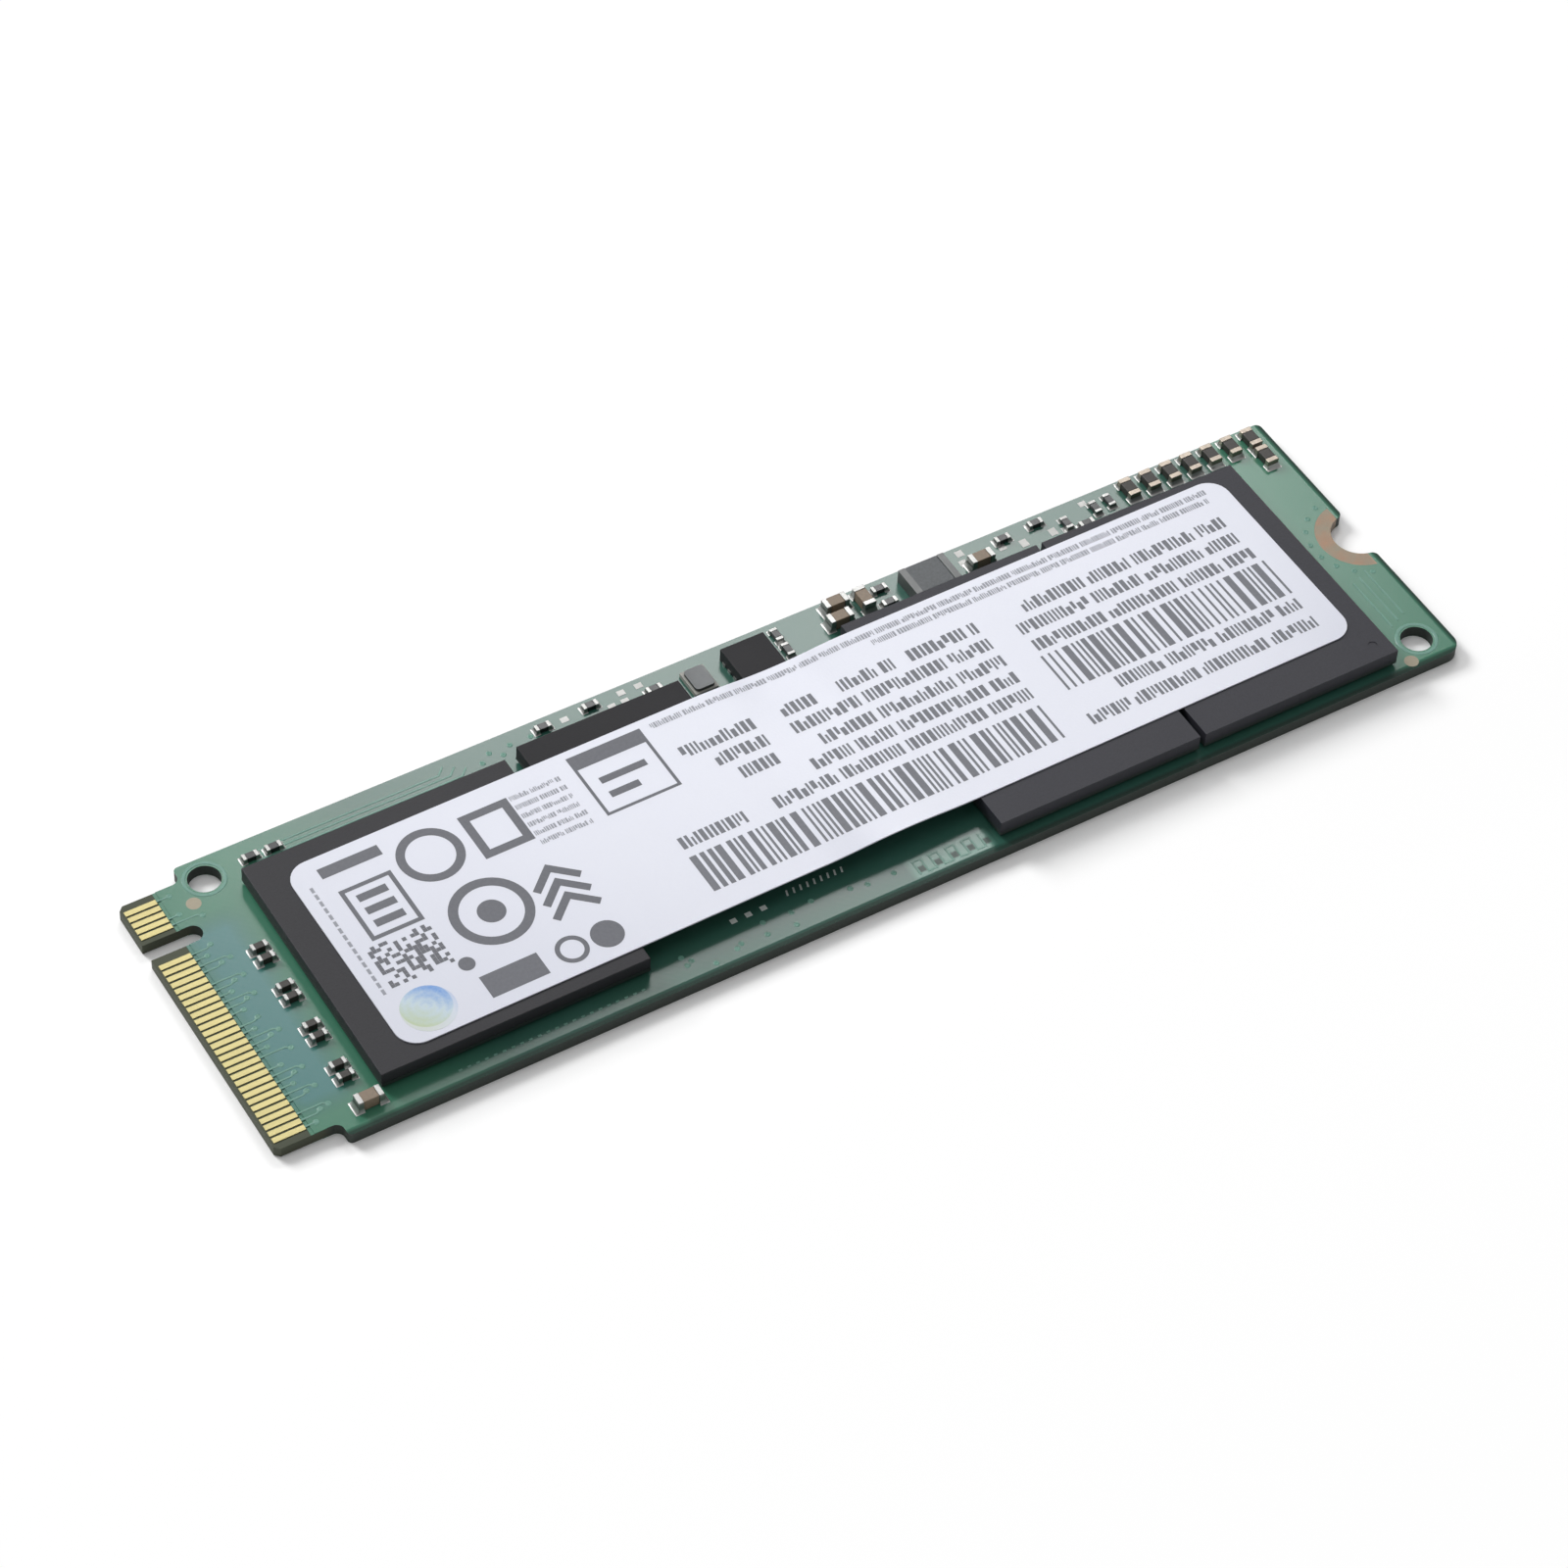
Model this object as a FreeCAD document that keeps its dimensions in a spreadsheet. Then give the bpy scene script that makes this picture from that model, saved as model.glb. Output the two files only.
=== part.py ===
import FreeCAD, Part
import math
import os
import re
import Sketcher

# Gumstick solid state drive: a single-sided board with a keyed card edge at one end and a half-round
# screw notch at the other. X runs from the card edge to the notch, Y towards the key, Z up.
# The origin is the middle of the board's lower face.

Vector = FreeCAD.Vector
doc = FreeCAD.newDocument("GumstickDrive")
sheet = doc.addObject("Spreadsheet::Sheet", "Sizes")

# Driving dimensions in millimetres, with the label's skew in degrees.
SIZES = (
    ("board_thickness", 0.8, "board over its solder mask"),
    ("foil_thickness", 0.05, "copper of the contacts and lands, flush with the mask"),
    ("tongue_length", 4.0, "card edge to shoulder"),
    ("tongue_margin", 0.5, "outermost contact to the tongue's side"),
    ("tongue_fillet", 0.5, "round where the tongue meets the shoulder"),
    ("tongue_bevel", 0.3, "cut corners at the tongue's front"),
    ("shoulder_round", 0.3, "outer corners of the shoulder"),
    ("far_end_round", 0.4, "corner beside the capacitor row"),
    ("near_end_round", 1.0, "corner beside the notch's tooling hole"),
    ("key_width", 1.2, "key notch across the contacts"),
    ("key_depth", 3.5, "key notch from the card edge to its round end"),
    ("contact_pitch", 0.5, "contact to contact on one face"),
    ("contact_width", 0.35, "one contact across"),
    ("contact_setback", 0.15, "contacts back from the card edge"),
    ("upper_contact_length", 2.0, "contact on the upper face"),
    ("lower_contact_length", 2.5, "contact on the lower face"),
    ("window_margin", 0.25, "mask-free strip behind the contacts"),
    ("notch_radius", 1.75, "screw notch, plated"),
    ("notch_mouth_round", 0.4, "rounded lips of the screw notch"),
    ("land_radius", 2.75, "copper land round the screw notch"),
    ("land_setback", 0.5, "copper back from the board's end"),
    ("tooling_diameter", 2.0, "tooling holes"),
    ("edge_hole_along", 1.3, "tooling hole at the card edge, from the shoulder"),
    ("edge_hole_inset", 1.55, "the same hole, from the far side"),
    ("notch_hole_along", 2.1, "tooling hole at the notch, from the end"),
    ("notch_hole_inset", 1.95, "the same hole, from the near side"),
    ("target_diameter", 0.9, "round alignment pads"),
    ("target_offset", 1.35, "alignment pad from its tooling hole, both ways"),
    ("controller_start", 7.05, "card edge to the controller"),
    ("controller_side", 17.2, "square controller package"),
    ("controller_shift", 0.45, "controller off the centre line, to the near side"),
    ("controller_memory_gap", 1.05, "between controller and memory"),
    ("memory_length", 11.0, "memory package along the board"),
    ("memory_depth", 11.5, "memory package across the board"),
    ("memory_inset", 2.3, "memory package from the far side"),
    ("memory_flash_gap", 10.8, "open board between memory and flash"),
    ("flash_length", 14.0, "flash package along the board"),
    ("flash_depth", 18.0, "flash package across the board"),
    ("flash_gap", 0.4, "between the two flash packages"),
    ("flash_end_margin", 4.5, "flash to the board's end"),
    ("flash_near_margin", 0.8, "flash to the near side"),
    ("far_strip", 3.2, "board beyond the flash, for the small chips"),
    ("package_height", 1.3, "package tops over the board"),
    ("ball_height", 0.22, "packages stand off on solder balls"),
    ("carrier_height", 0.26, "laminate carrier of a package, under its mould"),
    ("ball_radius", 0.22, "solder ball"),
    ("controller_ball_pitch", 2.0, "controller solder balls"),
    ("memory_ball_pitch", 1.6, "memory solder balls"),
    ("flash_ball_pitch", 2.0, "flash solder balls"),
    ("mark_radius", 0.3, "first-ball mark in a flash package"),
    ("mark_depth", 0.04, "depth of that mark"),
    ("mark_inset", 1.1, "that mark from the package sides"),
    ("crystal_gap", 0.8, "memory to crystal"),
    ("crystal_length", 1.6, "crystal along the board"),
    ("crystal_depth", 2.0, "crystal across the board"),
    ("crystal_base_height", 0.3, "ceramic base of the crystal"),
    ("crystal_lid_height", 0.22, "metal lid of the crystal"),
    ("crystal_lid_rim", 0.14, "base left bare round the lid"),
    ("crystal_lid_round", 0.25, "corners of the lid"),
    ("regulator_gap", 3.6, "memory to regulator"),
    ("regulator_side", 3.0, "square regulator package"),
    ("regulator_height", 0.95, "regulator over the board"),
    ("lead_pitch", 0.65, "regulator leads"),
    ("lead_width", 0.3, "one lead across"),
    ("lead_length", 0.35, "one lead under the package"),
    ("lead_height", 0.2, "one lead over the board"),
    ("lead_proud", 0.04, "lead past the package side"),
    ("strip_inset", 1.1, "crystal and regulator from the far side"),
    ("placement_grid", 0.05, "grid that the small chips are placed on"),
    ("cap_wrap", 0.02, "end caps proud of the chip they wrap"),
    ("coupler_length", 1.0, "coupling capacitor"),
    ("coupler_width", 0.5, "coupling capacitor"),
    ("coupler_height", 0.5, "coupling capacitor"),
    ("coupler_end", 0.22, "end cap of a coupling capacitor"),
    ("coupler_setback", 1.4, "coupling capacitors before the controller"),
    ("coupler_start", 3.2, "first coupling capacitor from the centre line"),
    ("coupler_pitch", 3.22, "pair to pair"),
    ("coupler_spread", 0.9, "the two of a pair"),
    ("resistor_length", 1.0, "chip resistor"),
    ("resistor_width", 0.5, "chip resistor"),
    ("resistor_height", 0.35, "chip resistor"),
    ("resistor_end", 0.22, "end cap of a chip resistor"),
    ("supply_length", 1.6, "supply capacitor"),
    ("supply_width", 0.8, "supply capacitor"),
    ("supply_height", 0.8, "supply capacitor"),
    ("supply_end", 0.32, "end cap of a supply capacitor"),
    ("row_length", 1.5, "capacitor of the end row, across the board"),
    ("row_width", 0.8, "capacitor of the end row, along the board"),
    ("row_height", 0.6, "capacitor of the end row"),
    ("row_end", 0.34, "end cap of the end row"),
    ("row_start", 1.4, "first capacitor of the end row from the board's end"),
    ("row_pitch", 1.53, "capacitor to capacitor"),
    ("row_inset", 1.15, "row from the far side"),
    ("row_step", 1.75, "the odd capacitor before the row"),
    ("inductor_length", 3.2, "power inductor"),
    ("inductor_width", 2.3, "power inductor"),
    ("inductor_height", 1.0, "power inductor"),
    ("inductor_end", 0.45, "end terminal of the inductor"),
    ("inductor_along", 7.2, "inductor's middle from the flash"),
    ("inductor_inset", 1.85, "inductor's middle from the far side"),
    ("label_thickness", 0.1, "paper label"),
    ("label_width", 14.95, "label across the board"),
    ("label_start", 1.95, "label from the controller's front side"),
    ("label_end_margin", 1.4, "label to the outer flash's end"),
    ("label_shift", 0.48, "label off the centre line, to the near side"),
    ("label_round", 1.4, "label corners"),
    ("label_skew", 0.45, "label turned on the board"),
    ("label_near_lift", 0.18, "near side of the label's free span, bowed up"),
    ("label_far_dip", 0.25, "far side of the label's free span, sagging"),
)
for row, (alias, value, note) in enumerate(SIZES, start=1):
    sheet.set(f"A{row}", note)
    sheet.set(f"B{row}", str(value))
    sheet.setAlias(f"B{row}", alias)
doc.recompute()

# Places worked out from the driving dimensions. The row of packages sets the board's length,
# the flash and the strip beside it set its width, and the contacts set the tongue's width.
PLACES = {
    "board_length": "controller_start + controller_side + controller_memory_gap + memory_length"
                    " + memory_flash_gap + 2 * flash_length + flash_gap + flash_end_margin",
    "board_width": "flash_near_margin + flash_depth + far_strip",
    "tongue_width": "37 * contact_pitch + contact_width + 2 * tongue_margin",
    "front_edge": "-board_length / 2",
    "end_edge": "board_length / 2",
    "near_edge": "-board_width / 2",
    "far_edge": "board_width / 2",
    "shoulder": "front_edge + tongue_length",
    "shoulder_step": "(board_width - tongue_width) / 2",
    "key_middle": "12.25 * contact_pitch",
    "key_end": "front_edge + key_depth - key_width / 2",
    "contact_front": "front_edge + contact_setback",
    "edge_hole_x": "shoulder + edge_hole_along",
    "edge_hole_y": "far_edge - edge_hole_inset",
    "notch_hole_x": "end_edge - notch_hole_along",
    "notch_hole_y": "near_edge + notch_hole_inset",
    "controller_left": "front_edge + controller_start",
    "controller_near": "-controller_side / 2 - controller_shift",
    "memory_left": "controller_left + controller_side + controller_memory_gap",
    "memory_right": "memory_left + memory_length",
    "memory_near": "far_edge - memory_inset - memory_depth",
    "inner_flash_left": "memory_right + memory_flash_gap",
    "outer_flash_left": "inner_flash_left + flash_length + flash_gap",
    "outer_flash_right": "outer_flash_left + flash_length",
    "flash_near": "near_edge + flash_near_margin",
    "package_bottom": "board_thickness + ball_height",
    "mould_bottom": "package_bottom + carrier_height",
    "package_top": "board_thickness + package_height",
    "crystal_left": "memory_right + crystal_gap",
    "crystal_near": "far_edge - strip_inset - crystal_depth",
    "regulator_left": "memory_right + regulator_gap",
    "regulator_near": "far_edge - strip_inset - regulator_side",
    "coupler_middle": "controller_left - coupler_setback",
    "row_middle": "far_edge - row_inset",
    "row_left": "end_edge - row_start - 6 * row_pitch - row_width / 2",
    "inductor_middle": "inner_flash_left + inductor_along",
    "inductor_right": "inductor_middle + inductor_length / 2",
    "label_left": "controller_left + label_start",
    "label_right": "outer_flash_right - label_end_margin",
}
NAME = re.compile(r"[a-z][a-z_]+")
FUNCTIONS = ("min",)


def formula(text):
    """Expression in which each name has become its sheet cell or, for a place, that place's own formula."""

    def spelled(match):
        name = match.group(0)
        if name in FUNCTIONS:
            return name
        if name in PLACES:
            return f"({formula(PLACES[name])})"
        return f"Sizes.{name}"

    return NAME.sub(spelled, text)


def number(text):
    """Present value of an expression."""
    return float(sheet.evalExpression(formula(text)))


def bind(thing, **sizes):
    """Tie an object's properties to expressions."""
    for name, text in sizes.items():
        thing.setExpression(name, formula(text))


def place(thing, x, y, z):
    """Tie an object's corner or centre to expressions."""
    for axis, text in zip("xyz", (x, y, z)):
        thing.setExpression(f"Placement.Base.{axis}", formula(text))


def box(name, corner, size):
    """Block from its lowest corner and its three sizes."""
    block = doc.addObject("Part::Box", name)
    bind(block, Length=size[0], Width=size[1], Height=size[2])
    place(block, *corner)
    return block


def cylinder(name, foot, radius, height):
    """Upright cylinder on its foot point."""
    drum = doc.addObject("Part::Cylinder", name)
    bind(drum, Radius=radius, Height=height)
    place(drum, *foot)
    return drum


def cut(label, base, tool):
    """Base with the tool taken out of it."""
    result = doc.addObject("Part::Cut", label)
    result.Base = base
    result.Tool = tool
    return result


def group(label, solids):
    """Separate solids that share one node."""
    result = doc.addObject("Part::Compound", label)
    result.Links = solids
    return result


def origin_feature(body, role):
    """Plane or axis of a body's own origin."""
    return next(part for part in body.Origin.OriginFeatures if part.Role == role)


def sketch_on(body, name, height="0"):
    """Empty level sketch at a height over the board's lower face."""
    sketch = body.newObject("Sketcher::SketchObject", name)
    sketch.AttachmentSupport = [(origin_feature(body, "XY_Plane"), "")]
    sketch.MapMode = "FlatFace"
    sketch.setExpression("AttachmentOffset.Base.z", formula(height))
    return sketch


def hold(sketch, kind, edge, point, text):
    """Tie a point's distance from the sketch's origin to an expression."""
    index = sketch.addConstraint(Sketcher.Constraint(kind, -1, 1, edge, point, number(text)))
    sketch.setExpression(f"Constraints[{index}]", formula(text))


def rectangle(sketch, left, right, near, far):
    """Rectangle held by its four sides."""
    x = (number(left), number(right))
    y = (number(near), number(far))
    corners = [Vector(x[0], y[0]), Vector(x[1], y[0]), Vector(x[1], y[1]), Vector(x[0], y[1])]
    first = sketch.GeometryCount
    for start, end in zip(corners, corners[1:] + corners[:1]):
        sketch.addGeometry(Part.LineSegment(start, end))
    for side in range(4):
        sketch.addConstraint(Sketcher.Constraint("Coincident", first + side, 2, first + (side + 1) % 4, 1))
        direction = "Vertical" if side % 2 else "Horizontal"
        sketch.addConstraint(Sketcher.Constraint(direction, first + side))
    hold(sketch, "DistanceX", first, 1, left)
    hold(sketch, "DistanceY", first, 1, near)
    hold(sketch, "DistanceX", first + 2, 1, right)
    hold(sketch, "DistanceY", first + 2, 1, far)


def circle(sketch, x, y, radius):
    """Circle held by its centre and radius."""
    edge = sketch.addGeometry(Part.Circle(Vector(number(x), number(y)), Vector(0, 0, 1), number(radius)))
    hold(sketch, "DistanceX", edge, 3, x)
    hold(sketch, "DistanceY", edge, 3, y)
    index = sketch.addConstraint(Sketcher.Constraint("Radius", edge, number(radius)))
    sketch.setExpression(f"Constraints[{index}]", formula(radius))


def pad(body, sketch, height):
    """Raise a sketch."""
    feature = body.newObject("PartDesign::Pad", "Pad")
    feature.Profile = sketch
    bind(feature, Length=height)
    doc.recompute()
    return feature


def pocket(body, sketch, depth, upward=False):
    """Sink a sketch, downwards unless said, and make sure that it removes material."""
    before = body.Shape.Volume
    feature = body.newObject("PartDesign::Pocket", "Pocket")
    feature.Profile = sketch
    feature.Reversed = upward
    bind(feature, Length=depth)
    doc.recompute()
    if body.Shape.Volume >= before:
        raise RuntimeError(f"{sketch.Name} removes nothing from {body.Label}")


def upright_edges(shape, points):
    """Names of the upright edges that stand on the given points of the plan."""
    near = 1e-4
    found = []
    for index, edge in enumerate(shape.Edges, start=1):
        ends = [vertex.Point for vertex in edge.Vertexes]
        if len(ends) != 2 or math.hypot(ends[0].x - ends[1].x, ends[0].y - ends[1].y) > near:
            continue
        if any(math.hypot(ends[0].x - x, ends[0].y - y) < near for x, y in points):
            found.append(f"Edge{index}")
    if len(found) != len(points):
        raise RuntimeError(f"{len(found)} of {len(points)} upright edges found")
    return found


def dress(body, kind, size_name, size, points):
    """Fillet or Chamfer on the upright edges at the given plan points."""
    names = upright_edges(body.Shape, [(number(x), number(y)) for x, y in points])
    base = body.Tip
    feature = body.newObject(f"PartDesign::{kind}", kind)
    feature.Base = (base, names)
    bind(feature, **{size_name: size})
    doc.recompute()


def board_blank():
    """Board before its lands are let in: outline, key, holes, rounded corners and contact windows."""
    body = doc.addObject("PartDesign::Body", "board_blank")
    top = "board_thickness"
    side = "tongue_width / 2"
    main = sketch_on(body, "MainOutline")
    rectangle(main, "shoulder", "end_edge", "near_edge", "far_edge")
    pad(body, main, "board_thickness")
    tongue = sketch_on(body, "TongueOutline")
    rectangle(tongue, "front_edge", "shoulder", f"-{side}", side)
    pad(body, tongue, "board_thickness")
    notch = sketch_on(body, "ScrewNotch", top)
    circle(notch, "end_edge", "0", "notch_radius")
    pocket(body, notch, "board_thickness")

    dress(body, "Fillet", "Radius", "min(tongue_fillet; shoulder_step / 2)",
          [("shoulder", f"-{side}"), ("shoulder", side)])
    dress(body, "Chamfer", "Size", "tongue_bevel", [("front_edge", f"-{side}"), ("front_edge", side)])
    dress(body, "Fillet", "Radius", "min(shoulder_round; shoulder_step / 3)",
          [("shoulder", "near_edge"), ("shoulder", "far_edge")])
    dress(body, "Fillet", "Radius", "far_end_round", [("end_edge", "far_edge")])
    dress(body, "Fillet", "Radius", "near_end_round", [("end_edge", "near_edge")])
    lips = [("end_edge", "-notch_radius"), ("end_edge", "notch_radius")]
    dress(body, "Fillet", "Radius", "notch_mouth_round", lips)

    slot = sketch_on(body, "KeySlot", top)
    rectangle(slot, "front_edge", "key_end", "key_middle - key_width / 2", "key_middle + key_width / 2")
    pocket(body, slot, "board_thickness")
    slot_end = sketch_on(body, "KeyRoundEnd", top)
    circle(slot_end, "key_end", "key_middle", "key_width / 2")
    pocket(body, slot_end, "board_thickness")
    holes = sketch_on(body, "ToolingHoles", top)
    circle(holes, "edge_hole_x", "edge_hole_y", "tooling_diameter / 2")
    circle(holes, "notch_hole_x", "notch_hole_y", "tooling_diameter / 2")
    pocket(body, holes, "board_thickness")
    for face, length, height, upward in (("Upper", "upper_contact_length", top, False),
                                         ("Lower", "lower_contact_length", "0", True)):
        window = sketch_on(body, f"{face}Window", height)
        rectangle(window, "front_edge", f"contact_front + {length} + window_margin", f"-{side}", side)
        pocket(body, window, "foil_thickness", upward)
    return body


def contacts(label, length, floor, runs):
    """Gold contacts of one face: each run of (first contact, count) is one pad and its pattern."""
    body = doc.addObject("PartDesign::Body", label)
    for first, count in runs:
        finger = sketch_on(body, "Finger", floor)
        middle = f"{first} * contact_pitch"
        rectangle(finger, "contact_front", f"contact_front + {length}",
                  f"{middle} - contact_width / 2", f"{middle} + contact_width / 2")
        blade = pad(body, finger, "foil_thickness")
        row = body.newObject("PartDesign::LinearPattern", "Run")
        row.Originals = [blade]
        row.Direction = (origin_feature(body, "Y_Axis"), [""])
        row.Occurrences = count
        bind(row, Length=f"{count - 1} * contact_pitch")
        body.Tip = row
        doc.recompute()
    return body


def notch_plating():
    """Copper of the screw notch: a land on each face and the barrel between, back from the board's end."""
    bare_end = "end_edge - land_setback"
    round_land = cylinder("LandRound", ("end_edge", "0", "0"), "land_radius", "board_thickness")
    keep = box("LandKeep", ("end_edge - land_radius", "-land_radius", "0"),
               ("land_radius - land_setback", "2 * land_radius", "board_thickness"))
    land = doc.addObject("Part::Common", "LandBlank")
    land.Base = round_land
    land.Tool = keep
    bore = cylinder("NotchBore", ("end_edge", "0", "0"), "notch_radius", "board_thickness")
    core_height = "board_thickness - 2 * foil_thickness"
    core_foot = ("end_edge", "0", "foil_thickness")
    core = cut("LaminateCore", cylinder("CoreRound", core_foot, "2 * land_radius", core_height),
               cylinder("CoreBore", core_foot, "notch_radius + foil_thickness", core_height))
    return cut("notch_plating", cut("LandRing", land, bore), core)


def alignment_pads():
    """Bare round pads, one beside each tooling hole, let into the upper face."""
    level = "board_thickness - foil_thickness"
    pads = []
    for hole in ("edge_hole", "notch_hole"):
        foot = (f"{hole}_x - target_offset", f"{hole}_y - target_offset", level)
        pads.append(cylinder("Target", foot, "target_diameter / 2", "foil_thickness"))
    return group("alignment_pads", pads)


def package(name, left, near, length, depth, mark=None):
    """Package sawn to size: a laminate carrier and the mould on it, with a first-ball mark where one is given."""
    carrier = box(f"{name}_carrier", (left, near, "package_bottom"), (length, depth, "carrier_height"))
    body = doc.addObject("PartDesign::Body", f"{name}_package")
    outline = sketch_on(body, "PackageOutline", "mould_bottom")
    rectangle(outline, left, f"{left} + {length}", near, f"{near} + {depth}")
    pad(body, outline, "package_top - mould_bottom")
    if mark:
        dot = sketch_on(body, "FirstBallMark", "package_top")
        circle(dot, *mark, "mark_radius")
        pocket(body, dot, "mark_depth")
    return carrier, body


def balls(prefix, left, near, length, depth, pitch, columns, rows, populated):
    """Solder balls under a package, as eight-sided barrels on a centred grid."""
    barrels = []
    for column in range(columns):
        for row in range(rows):
            if not populated(column, row):
                continue
            ball = doc.addObject("Part::Prism", f"{prefix}Ball")
            ball.Polygon = 8
            bind(ball, Circumradius="ball_radius", Height="ball_height")
            x = f"{left} + {length} / 2 + ({column - (columns - 1) / 2}) * {pitch}"
            y = f"{near} + {depth} / 2 + ({row - (rows - 1) / 2}) * {pitch}"
            place(ball, x, y, "board_thickness")
            barrels.append(ball)
    return barrels


def crystal():
    """Crystal: ceramic base with a drawn metal lid, rounded at its corners."""
    base = box("crystal_base", ("crystal_left", "crystal_near", "board_thickness"),
               ("crystal_length", "crystal_depth", "crystal_base_height"))
    lid = doc.addObject("PartDesign::Body", "crystal_lid")
    sides = ("crystal_left + crystal_lid_rim", "crystal_left + crystal_length - crystal_lid_rim",
             "crystal_near + crystal_lid_rim", "crystal_near + crystal_depth - crystal_lid_rim")
    outline = sketch_on(lid, "LidOutline", "board_thickness + crystal_base_height")
    rectangle(outline, *sides)
    pad(lid, outline, "crystal_lid_height")
    corners = [(x, y) for x in sides[:2] for y in sides[2:]]
    dress(lid, "Fillet", "Radius", "crystal_lid_round", corners)
    return base, lid


def regulator():
    """Regulator package whose flat leads fill notches along its four lower edges."""
    leads = []
    middle_x = "regulator_left + regulator_side / 2"
    middle_y = "regulator_near + regulator_side / 2"
    reach = "regulator_side / 2 + lead_proud"
    long_side = "lead_length + lead_proud"
    for step in (-1.5, -0.5, 0.5, 1.5):
        slide = f"({step}) * lead_pitch - lead_width / 2"
        for start in (f"-({reach})", "regulator_side / 2 - lead_length"):
            along = (f"{middle_x} + {start}", f"{middle_y} + {slide}", "board_thickness")
            leads.append(box("Lead", along, (long_side, "lead_width", "lead_height")))
            across = (f"{middle_x} + {slide}", f"{middle_y} + {start}", "board_thickness")
            leads.append(box("Lead", across, ("lead_width", long_side, "lead_height")))
    lead_set = group("regulator_leads", leads)
    block = box("RegulatorBlock", ("regulator_left", "regulator_near", "board_thickness"),
                ("regulator_side", "regulator_side", "regulator_height"))
    return cut("regulator_package", block, lead_set), lead_set


def chip(kind, x, y, along="x"):
    """Two-terminal chip centred on x, y: a body held off the board between two end caps."""
    length, width, height, end = (f"{kind}_{size}" for size in ("length", "width", "height", "end"))

    def block(name, start, run, narrower, lift, tall):
        corner = [f"{x} + {start}", f"{y} - {width} / 2 + {narrower}", f"board_thickness + {lift}"]
        size = [run, f"{width} - 2 * {narrower}", tall]
        if along == "y":
            corner[:2] = [f"{x} - {width} / 2 + {narrower}", f"{y} + {start}"]
            size[:2] = [size[1], run]
        return box(name, corner, size)

    core = block("ChipBody", f"{end} - {length} / 2", f"{length} - 2 * {end}", "cap_wrap", "cap_wrap",
                 f"{height} - 2 * cap_wrap")
    caps = [block("EndCap", start, end, "0", "0", height)
            for start in (f"-{length} / 2", f"{length} / 2 - {end}")]
    return core, caps


def chips(kind, body_label, cap_label, spots):
    """Like chips as two nodes: their bodies and their end caps."""
    made = [chip(kind, *spot) for spot in spots]
    bodies = group(body_label, [core for core, caps in made])
    ends = group(cap_label, [cap for core, caps in made for cap in caps])
    return bodies, ends


def on_grid(anchor, steps):
    """Place counted in grid steps from an anchor."""
    return f"{anchor} + ({steps}) * placement_grid"


def free_span(base, bow):
    """Edges along X of one face of the label: flat, bowed over the open board by two turns, and flat."""
    left, right = number("label_left"), number("label_right")
    start, end = number("memory_right"), number("inner_flash_left")
    quarter = (end - start) / 4

    def bend(first, turn, rise):
        """Arc from level to a slope, or back, over a quarter of the span and half of the bow."""
        radius = (quarter ** 2 + (bow / 2) ** 2) / bow
        half = math.asin(quarter / radius) / 2
        sagitta = radius * (1 - math.cos(half))
        middle_x = turn + (first - turn) * math.sin(half) / math.sin(2 * half)
        return middle_x, rise + math.copysign(1, bow) * sagitta

    crown = start + 2 * quarter
    shoulder_in, shoulder_out = start + quarter, end - quarter
    level, half_way, top = base, base + bow / 2, base + bow
    rising = bend(shoulder_in, start, 0)
    points = [(left, level), (start, level), (shoulder_in, half_way), (shoulder_out, half_way), (end, level),
              (right, level)]
    middles = {1: (rising[0], level + rising[1]), 2: (crown, top),
               3: (start + end - rising[0], level + rising[1])}
    return points, middles


def label_profile(y, bow):
    """Closed section of the label across Y, its faces a label's thickness apart."""
    edges = []
    ends = []
    for base in (number("package_top"), number("package_top + label_thickness")):
        points, middles = free_span(base, bow)
        corners = [Vector(x, y, z) for x, z in points]
        for index, (first, second) in enumerate(zip(corners, corners[1:])):
            if index in middles:
                x, z = middles[index]
                edges.append(Part.Arc(first, Vector(x, y, z), second).toShape())
            else:
                edges.append(Part.makeLine(first, second))
        ends.append((corners[0], corners[-1]))
    edges.extend(Part.makeLine(lower, upper) for lower, upper in zip(*ends))
    return Part.Wire(Part.__sortEdges__(edges))


def paper_label():
    """Label laid over the package tops: a ruled loft from its near section to its far one, corners rounded."""
    half = number("label_width / 2")
    band = Part.makeLoft([label_profile(-half, number("label_near_lift")),
                          label_profile(half, -number("label_far_dip"))], True, True)
    left, right = number("label_left"), number("label_right")
    height = number("2 * package_top")
    outline = Part.makeBox(right - left, 2 * half, height, Vector(left, -half, 0))
    uprights = [edge for edge in outline.Edges if abs(edge.Vertexes[0].Z - edge.Vertexes[-1].Z) > height / 2]
    outline = outline.makeFillet(number("label_round"), uprights)
    label = doc.addObject("Part::Feature", "label")
    label.Shape = band.common(outline).Solids[0]
    pivot = Vector((left + right) / 2, 0, 0)
    turn = FreeCAD.Rotation(Vector(0, 0, 1), number("label_skew"))
    shift = Vector(0, -number("label_shift"), 0)
    label.Placement = FreeCAD.Placement(shift, turn, pivot)
    return label


plating = notch_plating()
pads = alignment_pads()
inlay = group("inlay", [plating, pads])
nodes = [cut("circuit_board", board_blank(), inlay), plating, pads]
nodes.append(contacts("upper_contacts", "upper_contact_length", "board_thickness - foil_thickness",
                      ((-18.5, 29), (14.5, 5))))
nodes.append(contacts("lower_contacts", "lower_contact_length", "0", ((-18, 29), (15, 4))))

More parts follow.
